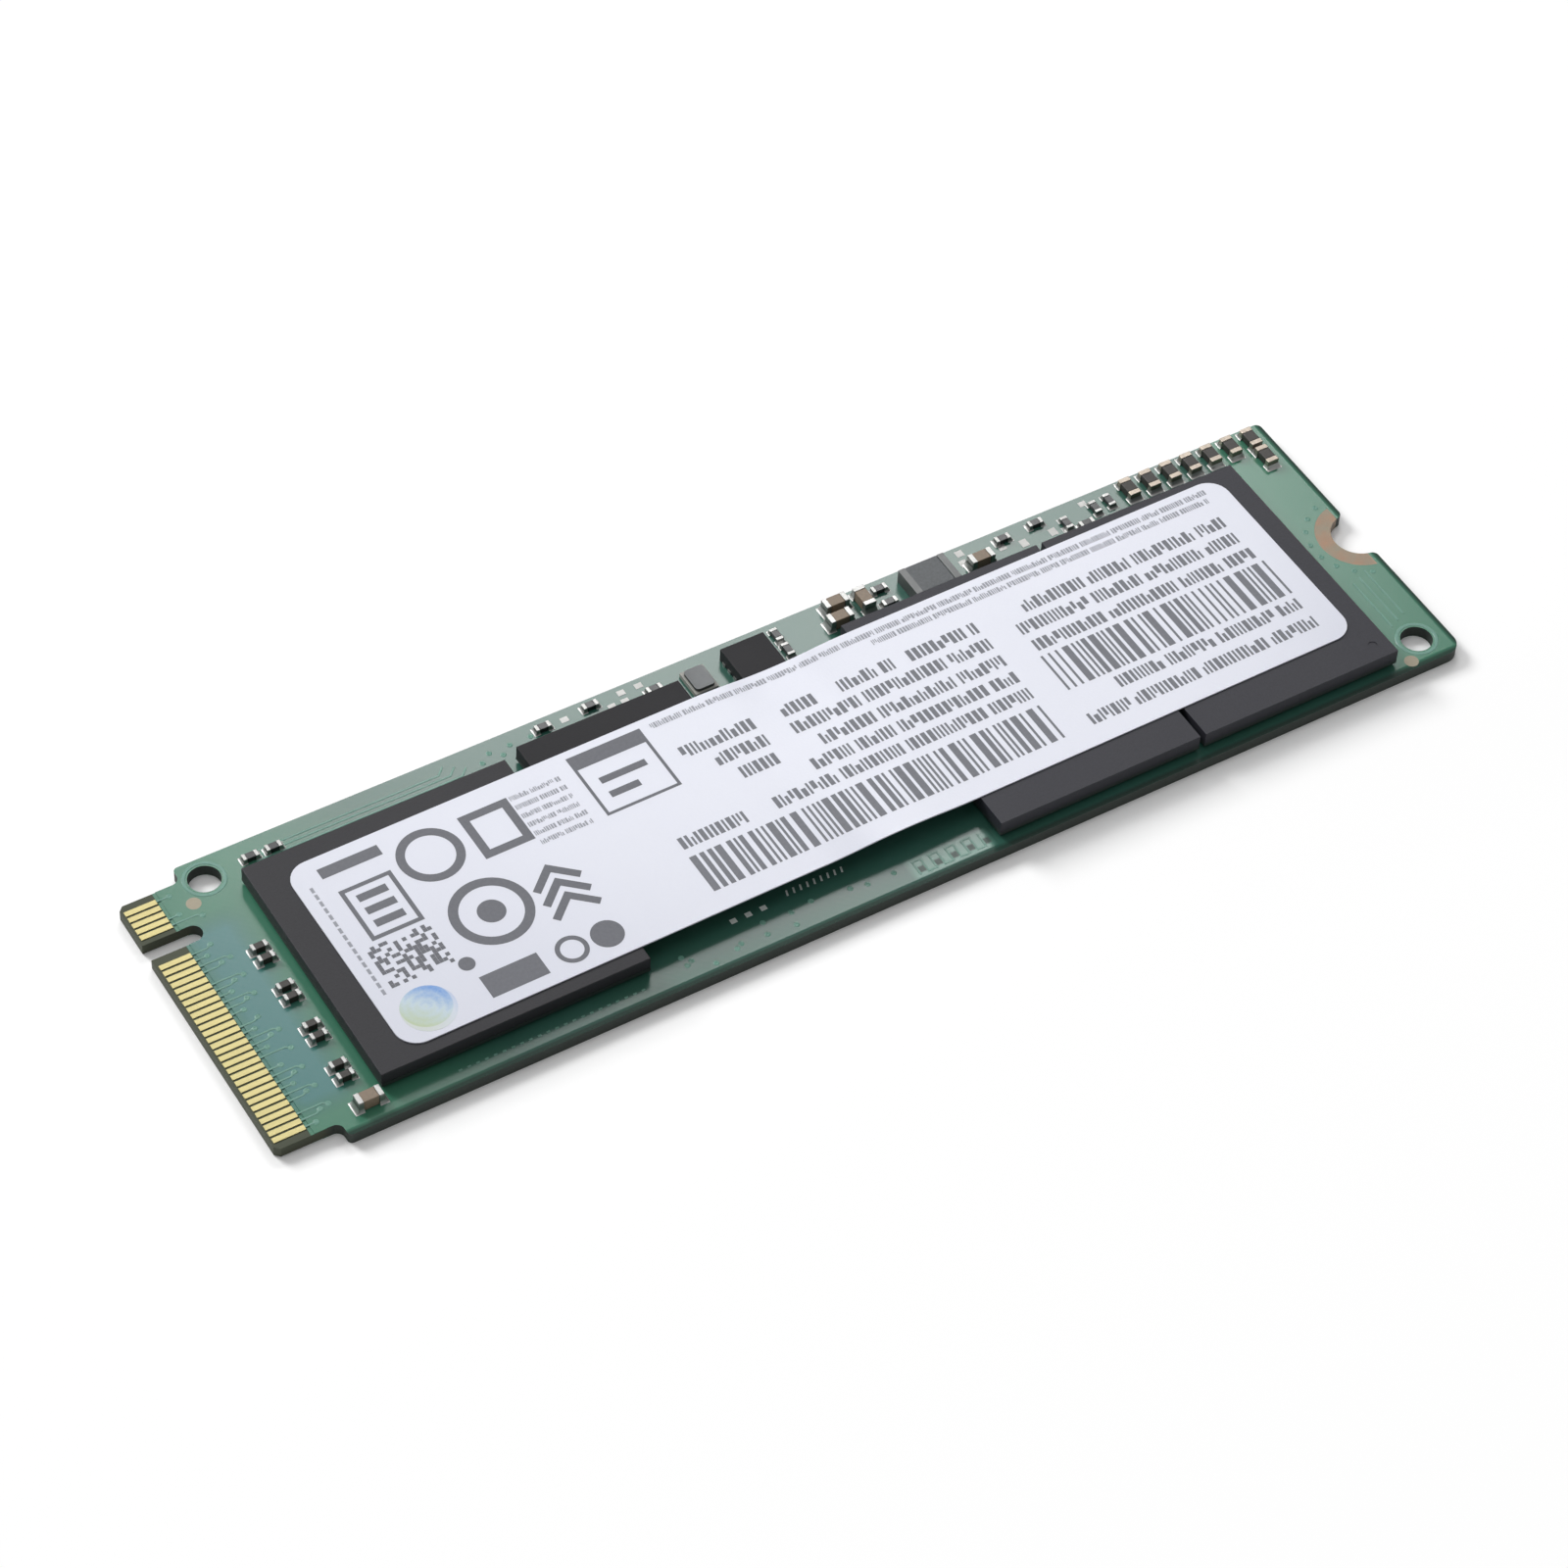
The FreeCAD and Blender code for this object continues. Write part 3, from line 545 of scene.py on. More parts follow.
def lower_vias(x, y):
    """Covered vias under the large packages, and runs in the gaps between the first three."""
    boxes = [node_box(name + "_package") for name in LARGE_PACKAGES]
    away = x.wrapped(VIA_PITCH).squared() + y.wrapped(VIA_PITCH).squared()
    areas = sum(patch(x, y, (low[0] + VIA_INSET, high[0] - VIA_INSET,
                             low[1] + VIA_INSET, high[1] - VIA_INSET), CRISP, CRISP)
                for low, high in boxes)
    vias = (1.0 - away.over(VIA_SQUARE, 0.012)) * areas.clamped()
    lines = 1.0 - y.wrapped(RUN_PITCH).over(RUN_HALF, 0.03)
    gaps = sum(x.within(one[1][0] - RUN_REACH, other[0][0] + RUN_REACH, CRISP)
               for one, other in zip(boxes[:2], boxes[1:3]))
    return vias.highest(lines * y.within(RUN_LOW, RUN_HIGH, CRISP) * gaps)


def test_points(x, y):
    """The row of bare round test points."""
    away = (x - TEST_START).wrapped(TEST_PITCH).squared() + (y - TEST_ACROSS).squared()
    row = x.within(TEST_START - 0.6, TEST_END + 0.6, CRISP)
    return (1.0 - away.over(TEST_SQUARE, 0.02)) * row


def board_finish(board, tin):
    """Green mask with a faint weave on both faces, and bare laminate on the edges and in the
    contact windows, where it is olive. The mask goes on into the windows behind the contacts. The
    lower face shows covered vias, runs and bare test points."""
    finish = Finish("solder_mask_green", ior=1.5)
    x, y, z = finish.axes()
    middle = float(BOARD_TOP / 2)
    off_middle = (z - middle).size()
    behind = x.within(CONTACT_END + 0.03, CONTACT_END + 1.0, 0.04)
    masked = off_middle.over(middle - 0.02, 0.01)
    masked = masked.highest(behind * off_middle.over(middle - 0.06, 0.01))
    upper = z.over(middle, 0.05)
    lower = 1.0 - upper
    cloud = finish.noise(0.09, 3.0)
    # rim falls to nought at the near edge and the screw end, where upper_mask paints shade and the
    # bump bends the mask.
    rim = ((y - BOARD_LOW[1]) / NEAR_SHADED_RIM).clamped() * ((SCREW_END - x) / SCREW_SHADED_RIM).clamped()
    green, loops = upper_mask(finish, board, x, y, upper, cloud, rim)
    vias = lower_vias(x, y) * lower
    green = finish.mix(vias, green, board.track)
    spots = test_points(x, y) * lower
    fibre = finish.noise(5.0, stretch=(0.15, 1.0, 6.0))
    edge = finish.mix(fibre, shade(board.laminate, 0.55), shade(board.laminate, 1.35))
    olive = (1.0 - x.over(CARD_END + 3.2, 0.6)) * (0.6 + fibre * 0.4)
    bare = finish.mix(olive, edge, board.tongue)
    quarter = WEAVE_PITCH / 4
    weave = (x.wrapped(WEAVE_PITCH) - quarter) * (y.wrapped(WEAVE_PITCH) - quarter)
    roughness = 0.62 - masked * 0.40 + (cloud - 0.5) * 0.06 + loops * 0.12 + spots * 0.18
    finish.set("Base Color", finish.mix(spots, finish.mix(masked, bare, green), tin))
    finish.set("Metallic", spots)
    finish.set("Roughness", roughness)
    finish.bump((weave * 3.0 + rim * 3.4) * masked + vias + (1.0 - masked) * fibre, 0.012)
    return finish.material


# The label's finishes

SEAL_CENTRE = (11.5, -5.95)
SEAL_RADIUS = 1.65
SEAL_RING = 0.5


def paper_finish(label):
    """White satin paper: a fine tooth, and the soft cloudiness of a coated sheet."""
    finish = Finish("paper_satin", coat_weight=0.35, coat_roughness=0.14)
    tooth = finish.noise(7.0, 4.0)
    cloud = finish.noise(0.10)
    colours = shade(label.paper, 0.965), shade(label.paper, 1.03)
    finish.set("Base Color", finish.mix(tooth * 0.4 + cloud * 0.6, *colours))
    finish.set("Roughness", 0.38 + (cloud - 0.5) * 0.12)
    finish.bump(tooth, 0.004)
    return finish.material


def seal_finish(label):
    """A shiny seal whose colour runs from lime over a pale middle to blue across it, with faint
    rings and a pale rim."""
    finish = Finish("paper_seal", coat_weight=0.2, coat_roughness=0.12)
    x, y, _ = finish.axes()
    aside, ahead = x - (SEAL_CENTRE[0] + CARD_END), y - SEAL_CENTRE[1]
    slope = (aside + ahead) / (2.6 * SEAL_RADIUS) + 0.5
    away = aside.math("SQRT", aside.squared() + ahead.squared())
    grain = finish.noise(6.0)
    rings = (away.wrapped(SEAL_RING) - SEAL_RING / 4) * 0.5
    share = (slope + (grain - 0.5) * 0.25 + rings).clamped()
    near = finish.mix((share * 2.0).clamped(), label.seal_lime, label.seal_middle)
    colour = finish.mix((share * 2.0 - 1.0).clamped(), near, label.seal_blue)
    rim = away.over(SEAL_RADIUS - 0.12, 0.06) * 0.6
    finish.set("Base Color", finish.mix(rim, colour, label.paper))
    finish.set("Roughness", 0.3 + grain * 0.1)
    return finish.material


# Finishes of the solids

WELD_REACH = 0.0005
BEVEL_ANGLE = math.radians(40)


def paint(node, material, edge=0.0, segments=2):
    """Give a node its finish, and break its sharp edges by a small round where one is given in
    millimetres."""
    shape = NODES[node]
    shape.data.materials.clear()
    shape.data.materials.append(material)
    if edge:
        weld = shape.modifiers.new("Joined corners", "WELD")
        weld.merge_threshold = WELD_REACH * MM
        bevel = shape.modifiers.new("Broken edges", "BEVEL")
        bevel.width = edge * MM
        bevel.segments = segments
        bevel.limit_method = "ANGLE"
        bevel.angle_limit = BEVEL_ANGLE
        bevel.use_clamp_overlap = True
        bevel.harden_normals = True


class GUMSTICK_OT_board(bpy.types.Operator):
    """Finish the board and its bare metal"""

    bl_idname = "gumstick.board"
    bl_label = "Board and contacts"

    def execute(self, context):
        drive = context.scene.gumstick
        pieces = drive.pieces
        lengthwise = (0.12, 1.0, 1.0)
        gold = metal("gold_contacts", pieces.gold, 0.42, 1.2, 0.004, lengthwise, metallic=0.7)
        copper = copper_finish("copper_plating", pieces.copper, pieces.copper_pale)
        pad = copper_finish("copper_pads", pieces.copper_pale, shade(pieces.copper_pale, 1.12))
        paint("circuit_board", board_finish(drive.board, pieces.solder))
        paint("upper_contacts", gold)
        paint("lower_contacts", gold)
        paint("notch_plating", copper)
        paint("alignment_pads", pad)
        return {"FINISHED"}


class GUMSTICK_OT_packages(bpy.types.Operator):
    """Finish the moulded packages and the balls under them"""

    bl_idname = "gumstick.packages"
    bl_label = "Packages"

    def execute(self, context):
        pieces = context.scene.gumstick.pieces
        mould = speckled("mould_compound", pieces.mould, 0.52, 1.5, 7.0, 0.010,
                         specular_ior_level=0.36)
        flash = speckled("mould_flash", pieces.flash_mould, 0.52, 1.5, 7.0, 0.010,
                         specular_ior_level=0.42)
        smooth = speckled("mould_smooth", shade(pieces.mould, 0.62), 0.48, 1.2, 8.0, 0.006,
                          specular_ior_level=0.23)
        moulds = {"controller": mould, "inner_flash": flash, "outer_flash": flash,
                  "memory": smooth, "regulator": smooth}
        for name, material in moulds.items():
            paint(name + "_package", material, 0.05, 3)
        carrier = speckled("package_laminate", pieces.carrier, 0.5, 1.2, 5.0, 0.006)
        for name in LARGE_PACKAGES:
            paint(name + "_carrier", carrier)
        solder = metal("solder_bright", pieces.solder, 0.34, 1.0, 0.006)
        for name in ("controller_balls", "memory_balls", "flash_balls", "regulator_leads"):
            paint(name, solder)
        return {"FINISHED"}


class GUMSTICK_OT_chips(bpy.types.Operator):
    """Finish the chips, the crystal and the inductor"""

    bl_idname = "gumstick.chips"
    bl_label = "Chips"

    def execute(self, context):
        pieces = context.scene.gumstick.pieces
        tinned = metal("solder_tinned", pieces.solder, 0.40, 1.2, 0.010)
        warm = metal("solder_warm", pieces.warm_solder, 0.44, 1.2, 0.010)
        dull = metal("terminal_dull", pieces.terminal, 0.55, 1.2, 0.010)
        lid = metal("lid_plating", pieces.lid, 0.48, 1.0, 0.004)
        tan = speckled("ceramic_tan", pieces.tan, 0.45, 1.2, 6.0, 0.006)
        # Partly painted shade: the darkness of the chips' shaded sides is painted over their whole
        # bodies.
        dark = speckled("ceramic_dark_and_shaded", pieces.dark, 0.45, 1.2, 6.0, 0.006)
        glaze = speckled("resistor_glaze", pieces.glaze, 0.30, 1.0, 6.0, 0.003)
        ferrite = speckled("ferrite_grey", pieces.ferrite, 0.5, 1.6, 5.0, 0.02)
        ceramic = speckled("crystal_ceramic", pieces.crystal, 0.5, 1.0, 6.0, 0.004)
        # The coupling and end-row capacitors get the near-black ceramic, which is partly painted
        # shade.
        paint("coupling_capacitor_bodies", dark, 0.04)
        paint("supply_capacitor_bodies", tan, 0.05)
        paint("end_row_capacitor_bodies", dark, 0.05)
        paint("resistor_bodies", glaze, 0.03)
        for name in ("coupling_capacitor_ends", "supply_capacitor_ends", "resistor_ends"):
            paint(name, tinned, 0.04, 3)
        paint("end_row_capacitor_ends", warm, 0.04, 3)
        paint("inductor_terminals", dull, 0.06, 3)
        paint("inductor_core", ferrite, 0.08, 3)
        paint("crystal_base", ceramic, 0.03)
        paint("crystal_lid", lid, 0.04, 3)
        return {"FINISHED"}


# Solder at the chip ends

# Kinds of chips, and how far their solder reaches as a share of the setting.
CHIP_KINDS = (("coupling_capacitor", 1.0), ("supply_capacitor", 1.2),
              ("end_row_capacitor", 1.2), ("resistor", 0.8))
# A six-sided solid's mesh has twelve triangles.
BOX_CORNERS = 12 * 3
MENISCUS_ROWS, MENISCUS_COLUMNS = 9, 13
# Solder beside an end reaches this share of what it does in front of it.
SIDE_REACH = 0.45
# How much of an end's height solder climbs at its sides, and how much more at its front.
SIDE_CLIMB, FRONT_CLIMB = 0.28, 0.34
# Thickness of solder at the rim of its pad, and how far it goes down into the mask.
SOLDER_SKIN, SOLDER_SINK = 0.012, 0.01


def solids_of(name):
    """Boxes of the separate six-sided solids of a node, in millimetres, as an (n, 2, 3) array. A
    node's triangles share no points, and those of each such solid stand in a row."""
    mesh = NODES[name].data
    points = np.empty(3 * len(mesh.vertices))
    mesh.vertices.foreach_get("co", points)
    corners = np.empty(len(mesh.loops), int)
    mesh.loops.foreach_get("vertex_index", corners)
    solids = points.reshape(-1, 3)[corners].reshape(-1, BOX_CORNERS, 3) / MM
    return np.stack([solids.min(axis=1), solids.max(axis=1)], axis=1)


def meniscus(shell, low, high, outward, reach):
    """Solder round one chip end: a height over the plane that is a share of the end's height at
    its faces and falls with the square of what is left of the way to the rim of its pad."""
    rows, columns = MENISCUS_ROWS, MENISCUS_COLUMNS
    along = int(abs(outward[1]) > abs(outward[0]))
    across = 1 - along
    sign = np.sign(outward[along])
    half = (high - low) / 2
    middle = (high + low) / 2
    rim = reach * SIDE_REACH
    front = np.linspace(half[along], half[along] + reach, rows - 1)
    beside = np.linspace(half[across], half[across] + rim, columns // 2)
    s, t = np.meshgrid(np.concatenate([[-half[along]], front]),
                       np.concatenate([-beside[::-1], [0.0], beside]), indexing="ij")
    ahead = np.maximum(s - half[along], 0)
    aside = np.maximum(np.abs(t) - half[across], 0)
    way = np.hypot(ahead / reach, aside / rim)
    share = SIDE_CLIMB + FRONT_CLIMB * ahead / (ahead + 3 * aside + 1e-6)
    climb = share * (high[2] - low[2]) * np.maximum(1 - way, 0) ** 2 + SOLDER_SKIN
    flat = np.zeros((*s.shape, 2))
    flat[..., along] = middle[along] + sign * s
    flat[..., across] = middle[across] + t
    flat = flat.reshape(-1, 2)
    top = np.column_stack([flat, BOARD_TOP + climb.ravel()])
    under = np.column_stack([flat, np.full(len(flat), BOARD_TOP - SOLDER_SINK)])
    quads = grid_quads(rows, columns)
    count = rows * columns
    index = np.arange(count).reshape(rows, columns)
    loop = np.concatenate([index[0, :-1], index[:-1, -1], index[-1, :0:-1], index[:0:-1, 0]])
    after = np.roll(loop, -1)
    wall = np.stack([loop, loop + count, after + count, after], axis=1)
    faces = [quads, quads[:, ::-1] + count, wall]
    if (sign > 0) == (along == 0):
        faces = [block[:, ::-1] for block in faces]
    shell.add(np.concatenate([top, under]), faces)


class GUMSTICK_OT_solder(bpy.types.Operator):
    """Run solder from each chip end on to its pad"""

    bl_idname = "gumstick.solder"
    bl_label = "Solder"

    def execute(self, context):
        pieces = context.scene.gumstick.pieces
        reach = pieces.solder_reach / MM
        shell = Shell()
        for kind, share in CHIP_KINDS:
            middles = solids_of(kind + "_bodies").mean(axis=1)
            for low, high in solids_of(kind + "_ends"):
                away = (low + high) / 2 - middles
                outward = away[np.argmin(np.linalg.norm(away, axis=1))]
                meniscus(shell, low, high, outward, reach * share)
        bright = metal("solder_fillets", shade(pieces.solder, 1.25), 0.46, 1.0, 0.004)
        shell.piece("chip_solder", bright, "solder", smooth=True)
        return {"FINISHED"}


# Tracks, vias and white marks on the upper face

# Tooling holes in the frame, and the radius and width of the rings round them.
HOLES = ((-34.7, 9.45), (37.9, -9.05))
HOLE_RING, HOLE_RING_WIDTH = 1.22, 0.24
# The round pad that the tracks behind the contacts keep away from, and by how much.
FINGER_PAD, PAD_CLEARANCE = (3.95, 8.1), 0.8
# Bare pads from the card edge: along, across and width. All have the same length.
BARE_PADS = ((57.1, 9.6, 0.6), (57.3, 10.45, 0.5), (59.9, 9.65, 0.5), (61.3, 9.3, 0.6),
             (63.4, 9.25, 0.6), (64.2, 9.0, 0.5), (66.3, 10.4, 0.4), (32.4, 9.75, 0.4),
             (33.3, 9.75, 0.4), (33.4, 10.45, 0.4), (34.6, 10.45, 0.4), (29.4, 10.2, 0.4))
PAD_HALF = 0.25
# How much narrower a track's top is, how far pads and marks stand out, and how deep all go in.
TRACK_TAPER, FLAT_RISE, MASK_SINK = 0.3, 0.012, 0.005
VIA_SEGMENTS = 14


def on_board(points):
    """Points of the board that are given from the card edge, in the frame."""
    return np.asarray(points, float) + (CARD_END, 0.0)


def finger_tracks():
    """Tracks behind the upper contacts: each leaves its contact, and most step aside and end at a
    via."""
    rng = np.random.default_rng(11)
    tracks, vias = [], []
    rows = np.concatenate([np.arange(-9.25, 4.8, 0.5), np.arange(7.25, 9.3, 0.5)])
    for k, across in enumerate(rows):
        if k % 7 == 3:
            continue
        reach = 2.9 + 0.55 * (k % 3) + rng.uniform(-0.08, 0.08)
        end = (reach, across + (0.0, 0.18, -0.18)[k % 3])
        if math.dist(end, FINGER_PAD) < PAD_CLEARANCE:
            continue
        tracks.append([(2.15, across), (reach - 0.3, across), end])
        vias.append(end)
    return tracks, vias


def screw_end_tracks():
    """Tracks that run across the board beside the screw notch, and the ring of vias that ties its
    land down."""
    tracks = [[(77.2 + 0.62 * k, -7.5 + 0.3 * k), (77.2 + 0.62 * k, -3.4 + 0.3 * k)]
              for k in range(3)]
    vias = [(80 + 3.3 * math.cos(a), 3.3 * math.sin(a))
            for a in np.radians(np.linspace(110, 250, 8))]
    return tracks, vias


def near_strip_tracks():
    """Tracks along the near edge: dashes beside the controller, and a length-matching run beside
    the memory."""
    tracks = [[(11.4 + 0.56 * k, -9.95), (11.62 + 0.56 * k, -9.95)] for k in range(22)]
    tracks.append([(41.6 + 0.56 * (k // 2), -9.3 if (k + 1) // 2 % 2 else -10.3)
                   for k in range(18)])
    rng = np.random.default_rng(29)
    vias = np.column_stack([rng.uniform(26.0, 40.5, 14), rng.uniform(-10.3, -8.9, 14)])
    return tracks, vias


def far_strip_tracks():
    """Tracks along the far edge, past the controller and the memory."""
    tracks = [[(8.5, 9.2 + 0.35 * k), (22.0 - 0.6 * k, 9.2 + 0.35 * k),
               (22.5 - 0.6 * k, 9.7 + 0.35 * k)] for k in range(3)]
    vias = [(23.5 + 0.7 * k, 9.5 + 0.5 * (k % 2)) for k in range(7)]
    return tracks, vias


def legend_bars():
    """White marks beside the memory: start, end and width of slanted ticks and of short bars."""
    ticks = [((34.0 + 0.46 * k, -7.95), (34.12 + 0.46 * k, -7.55), 0.12) for k in range(9)]
    return ticks + [((30.1 + 1.0 * k, -8.05), (30.5 + 1.0 * k, -8.05), 0.34) for k in range(3)]


class GUMSTICK_OT_tracks(bpy.types.Operator):
    """Lay tracks, covered vias, bare pads and white marks on the upper face"""

    bl_idname = "gumstick.tracks"
    bl_label = "Tracks and vias"

    def execute(self, context):
        drive = context.scene.gumstick
        board = drive.board
        width, rise = board.track_width / MM, board.track_rise / MM
        radius = board.via_radius / MM
        foot, crest = level(BOARD_TOP - MASK_SINK), level(BOARD_TOP + rise)
        flat = level(BOARD_TOP + FLAT_RISE)
        tracks, vias, marks, pads = Shell(), Shell(), Shell(), Shell()
        dome = [(0, rise * 0.3), (0.30 * radius, rise * 0.3), (0.45 * radius, rise),
                (0.8 * radius, rise * 1.2), (1.1 * radius, 0.0), (1.1 * radius, -MASK_SINK),
                (0, -MASK_SINK)]
        groups = (finger_tracks(), screw_end_tracks(), near_strip_tracks(), far_strip_tracks())
        for runs, spots in groups:
            for run in runs:
                strip(tracks, on_board(run), width, foot, crest, taper=TRACK_TAPER)
            turned(vias, dome, on_board(spots), level(BOARD_TOP), VIA_SEGMENTS)
        for centre in HOLES:
            strip(tracks, arc(centre, HOLE_RING), HOLE_RING_WIDTH, foot, crest,
                  taper=TRACK_TAPER, closed=True)
        for start, end, bar_width in legend_bars():
            strip(marks, on_board([start, end]), bar_width, foot, flat)
        for along, across, pad_width in BARE_PADS:
            ends = [(along - PAD_HALF, across), (along + PAD_HALF, across)]
            strip(pads, on_board(ends), pad_width, foot, flat)
        tinned = metal("solder_flat", shade(drive.pieces.solder, 0.95), 0.45, 1.2, 0.008)
        covered = speckled("solder_mask_track", board.track, 0.32, 1.0, 3.0, 0.004)
        pads.piece("bare_pads", tinned, "solder")
        tracks.piece("mask_tracks", covered, "solder_mask")
        vias.piece("mask_vias", covered, "solder_mask", smooth=True)
        marks.piece("legend_marks", flat_ink("legend_white", board.legend), "solder_mask")
        return {"FINISHED"}


# The label

# Points along the round of a corner, the free span and a level stretch, and across the sheet.
CORNER_ROWS, FREE_ROWS, LEVEL_ROWS, SHEET_COLUMNS = 9, 41, 16, 19
# The sheet's face stays this far under that of its solid, so that the print fits in the box.
FACE_DROP = 0.008
# How far print stands out of the paper, and how deep it goes in.
PRINT_RISE, PRINT_SINK = 0.006, 0.02
DISC_SEGMENTS = 32
# Widths of dashes and gaps in a row of print are given for this height of row.
ROW_HEIGHT = 0.9
NARROWEST = 0.1


class Paper:
    """The label's own plane: along and across in millimetres, as the board has them before the
    label is turned."""

    def __init__(self, label):
        self.half_length = label.length / MM / 2
        self.half_width = label.width / MM / 2
        self.corner = label.corner / MM
        self.middle = np.array([label.middle_along, label.middle_across]) / MM
        self.turn = label.skew
        self.near_lift = label.near_lift / MM
        self.far_dip = label.far_dip / MM
        self.free_start = node_box("memory_package")[1][0]
        self.free_end = node_box("inner_flash_package")[0][0]
        self.thickness = label.thickness / MM

    def under(self, plane):
        """Height of the paper's underside: level on the packages, and over the free span between
        them an arch of three parabolas whose height runs from the lift of the near edge to the dip
        of the far one."""
        t = np.clip((plane[:, 0] - self.free_start) / (self.free_end - self.free_start), 0, 1)
        crown_and_end = np.where(t > 0.75, 8 * (1 - t) ** 2, 1 - 8 * (t - 0.5) ** 2)
        bump = np.where(t < 0.25, 8 * t ** 2, crown_and_end)
        share = (plane[:, 1] / self.half_width + 1) / 2
        return PACKAGE_TOP + bump * (self.near_lift - (self.near_lift + self.far_dip) * share)

    def top(self, plane):
        """Height of the paper's face, a hair under the solid's."""
        return self.under(plane) + self.thickness - FACE_DROP

    def laid(self, shell):
        """Turn what a shell holds from the label's plane on to the packages."""
        cos, sin = math.cos(self.turn), math.sin(self.turn)
        pivot = np.array([self.middle[0], 0.0])
        turn = np.array([[cos, sin], [-sin, cos]])
        shift = pivot + (0.0, self.middle[1])
        shell.points = [np.column_stack([(p[:, :2] - pivot) @ turn + shift, p[:, 2]])
                        for p in shell.points]
        return shell


def label_sheet(paper):
    """The sheet: its section across the board, a loop over the face and back under it, is carried
    along the board and drawn in at both ends by the round of the corners."""
    round_off = paper.corner * (1 - np.cos(np.linspace(0, math.pi / 2, CORNER_ROWS)))
    left, right = paper.middle[0] - paper.half_length, paper.middle[0] + paper.half_length
    free = np.linspace(paper.free_start, paper.free_end, FREE_ROWS)
    before = np.linspace(left + paper.corner, free[0], LEVEL_ROWS)[1:-1]
    after = np.linspace(free[-1], right - paper.corner, LEVEL_ROWS)[1:-1]
    along = np.concatenate([left + round_off, before, free, after, right - round_off[::-1]])
    inset = paper.corner - np.minimum(np.minimum(along - left, right - along), paper.corner)
    drawn_in = np.sqrt(np.maximum(paper.corner ** 2 - inset ** 2, 0))
    half = paper.half_width - paper.corner + drawn_in
    rows, columns = len(along), SHEET_COLUMNS
    across = np.linspace(1, -1, columns)
    face = np.stack([np.repeat(along, columns), (half[:, None] * across).ravel()], axis=1)
    back = np.stack([np.repeat(along, columns), (half[:, None] * across[::-1]).ravel()], axis=1)
    face = np.column_stack([face, paper.top(face)]).reshape(rows, columns, 3)
    back = np.column_stack([back, paper.under(back)]).reshape(rows, columns, 3)
    points = np.concatenate([face, back], axis=1).reshape(-1, 3)
    ring = 2 * columns
    k = np.arange(columns - 1)
    cap = np.stack([k, ring - 1 - k, ring - 2 - k, k + 1], axis=1)
    wrap = grid_quads(rows, ring, round_columns=True)
    shell = Shell()
    shell.add(points, [wrap, cap, cap[:, ::-1] + ring * (rows - 1)])
    return paper.laid(shell)


class Print:
    """Marks of one ink on the label, in the label's plane, measured from the card edge of the
    board."""

    def __init__(self, paper, seed):
        self.shell = Shell()
        self.paper = paper
        self.low = raised(paper.top, -PRINT_SINK)
        self.high = raised(paper.top, PRINT_RISE)
        self.rng = np.random.default_rng(seed)

    def pick(self, choices):
        """One of some numbers at random."""
        return float(self.rng.choice(choices))

    def at(self, points):
        """Points of the print in the label's plane."""
        return on_board(points) - (0.0, self.paper.middle[1])

    def line(self, points, width, closed=False):
        """A line along points."""
        strip(self.shell, self.at(points), width, self.low, self.high, closed=closed)

    def block(self, start, end, low, high):
        """A filled rectangle."""
        middle = (low + high) / 2
        self.line(straight((start, middle), (end, middle)), high - low)

    def frame(self, start, end, low, high, width):
        """The outline of a rectangle."""
        corners = [(start, low), (end, low), (end, high), (start, high)]
        sides = [straight(a, b)[:-1] for a, b in zip(corners, corners[1:] + corners[:1])]
        self.line(np.concatenate(sides), width, closed=True)

    def ring(self, centre, radius, width):
        """A plain ring."""
        self.line(arc(centre, radius), width, closed=True)

    def disc(self, centre, radius):
        """A filled circle."""
        profile = [(0, PRINT_RISE), (radius * 0.5, PRINT_RISE), (radius, PRINT_RISE),
                   (radius, -PRINT_SINK), (0, -PRINT_SINK)]
        turned(self.shell, profile, self.at([centre]), self.paper.top, DISC_SEGMENTS)

    def words(self, start, end, middle, height):
        """A row of short upright dashes of uneven widths and heights, with wider gaps here and
        there."""
        here, left = start, int(self.rng.integers(8, 17))
        foot = middle - height / 2
        while here < end - NARROWEST:
            wide = min(self.pick([0.14, 0.20, 0.30]) * height / ROW_HEIGHT, end - here)
            tall = height * self.pick([0.7, 1.0, 1.0, 1.0])
            lift = self.pick([0.0, 0.0, 1.0]) * (height - tall)
            self.block(here, here + wide, foot + lift, foot + lift + tall)
            left -= 1
            here += wide + (0.13 if left else 0.40) * height / ROW_HEIGHT
            left = left or int(self.rng.integers(8, 17))

    def bars(self, start, end, low, high):
        """Upright bars of uneven widths and gaps."""
        here = start
        while here < end - NARROWEST:
            wide = min(self.pick([0.16, 0.16, 0.32, 0.46]), end - here)
            self.block(here, here + wide, low, high)
            here += wide + self.pick([0.16, 0.2, 0.34])

    def speckle(self, start, end, low, high, cell):
        """Small squares scattered on a square field."""
        for x in np.arange(start, end, cell):
            for y in np.arange(low, high, cell):
                if self.rng.random() < 0.5:
                    self.block(x, x + cell * 0.96, y, y + cell * 0.96)

    def piece(self, name, material):
        """Lay the marks on the packages as one piece."""
        return self.paper.laid(self.shell).piece(name, material, "paper")


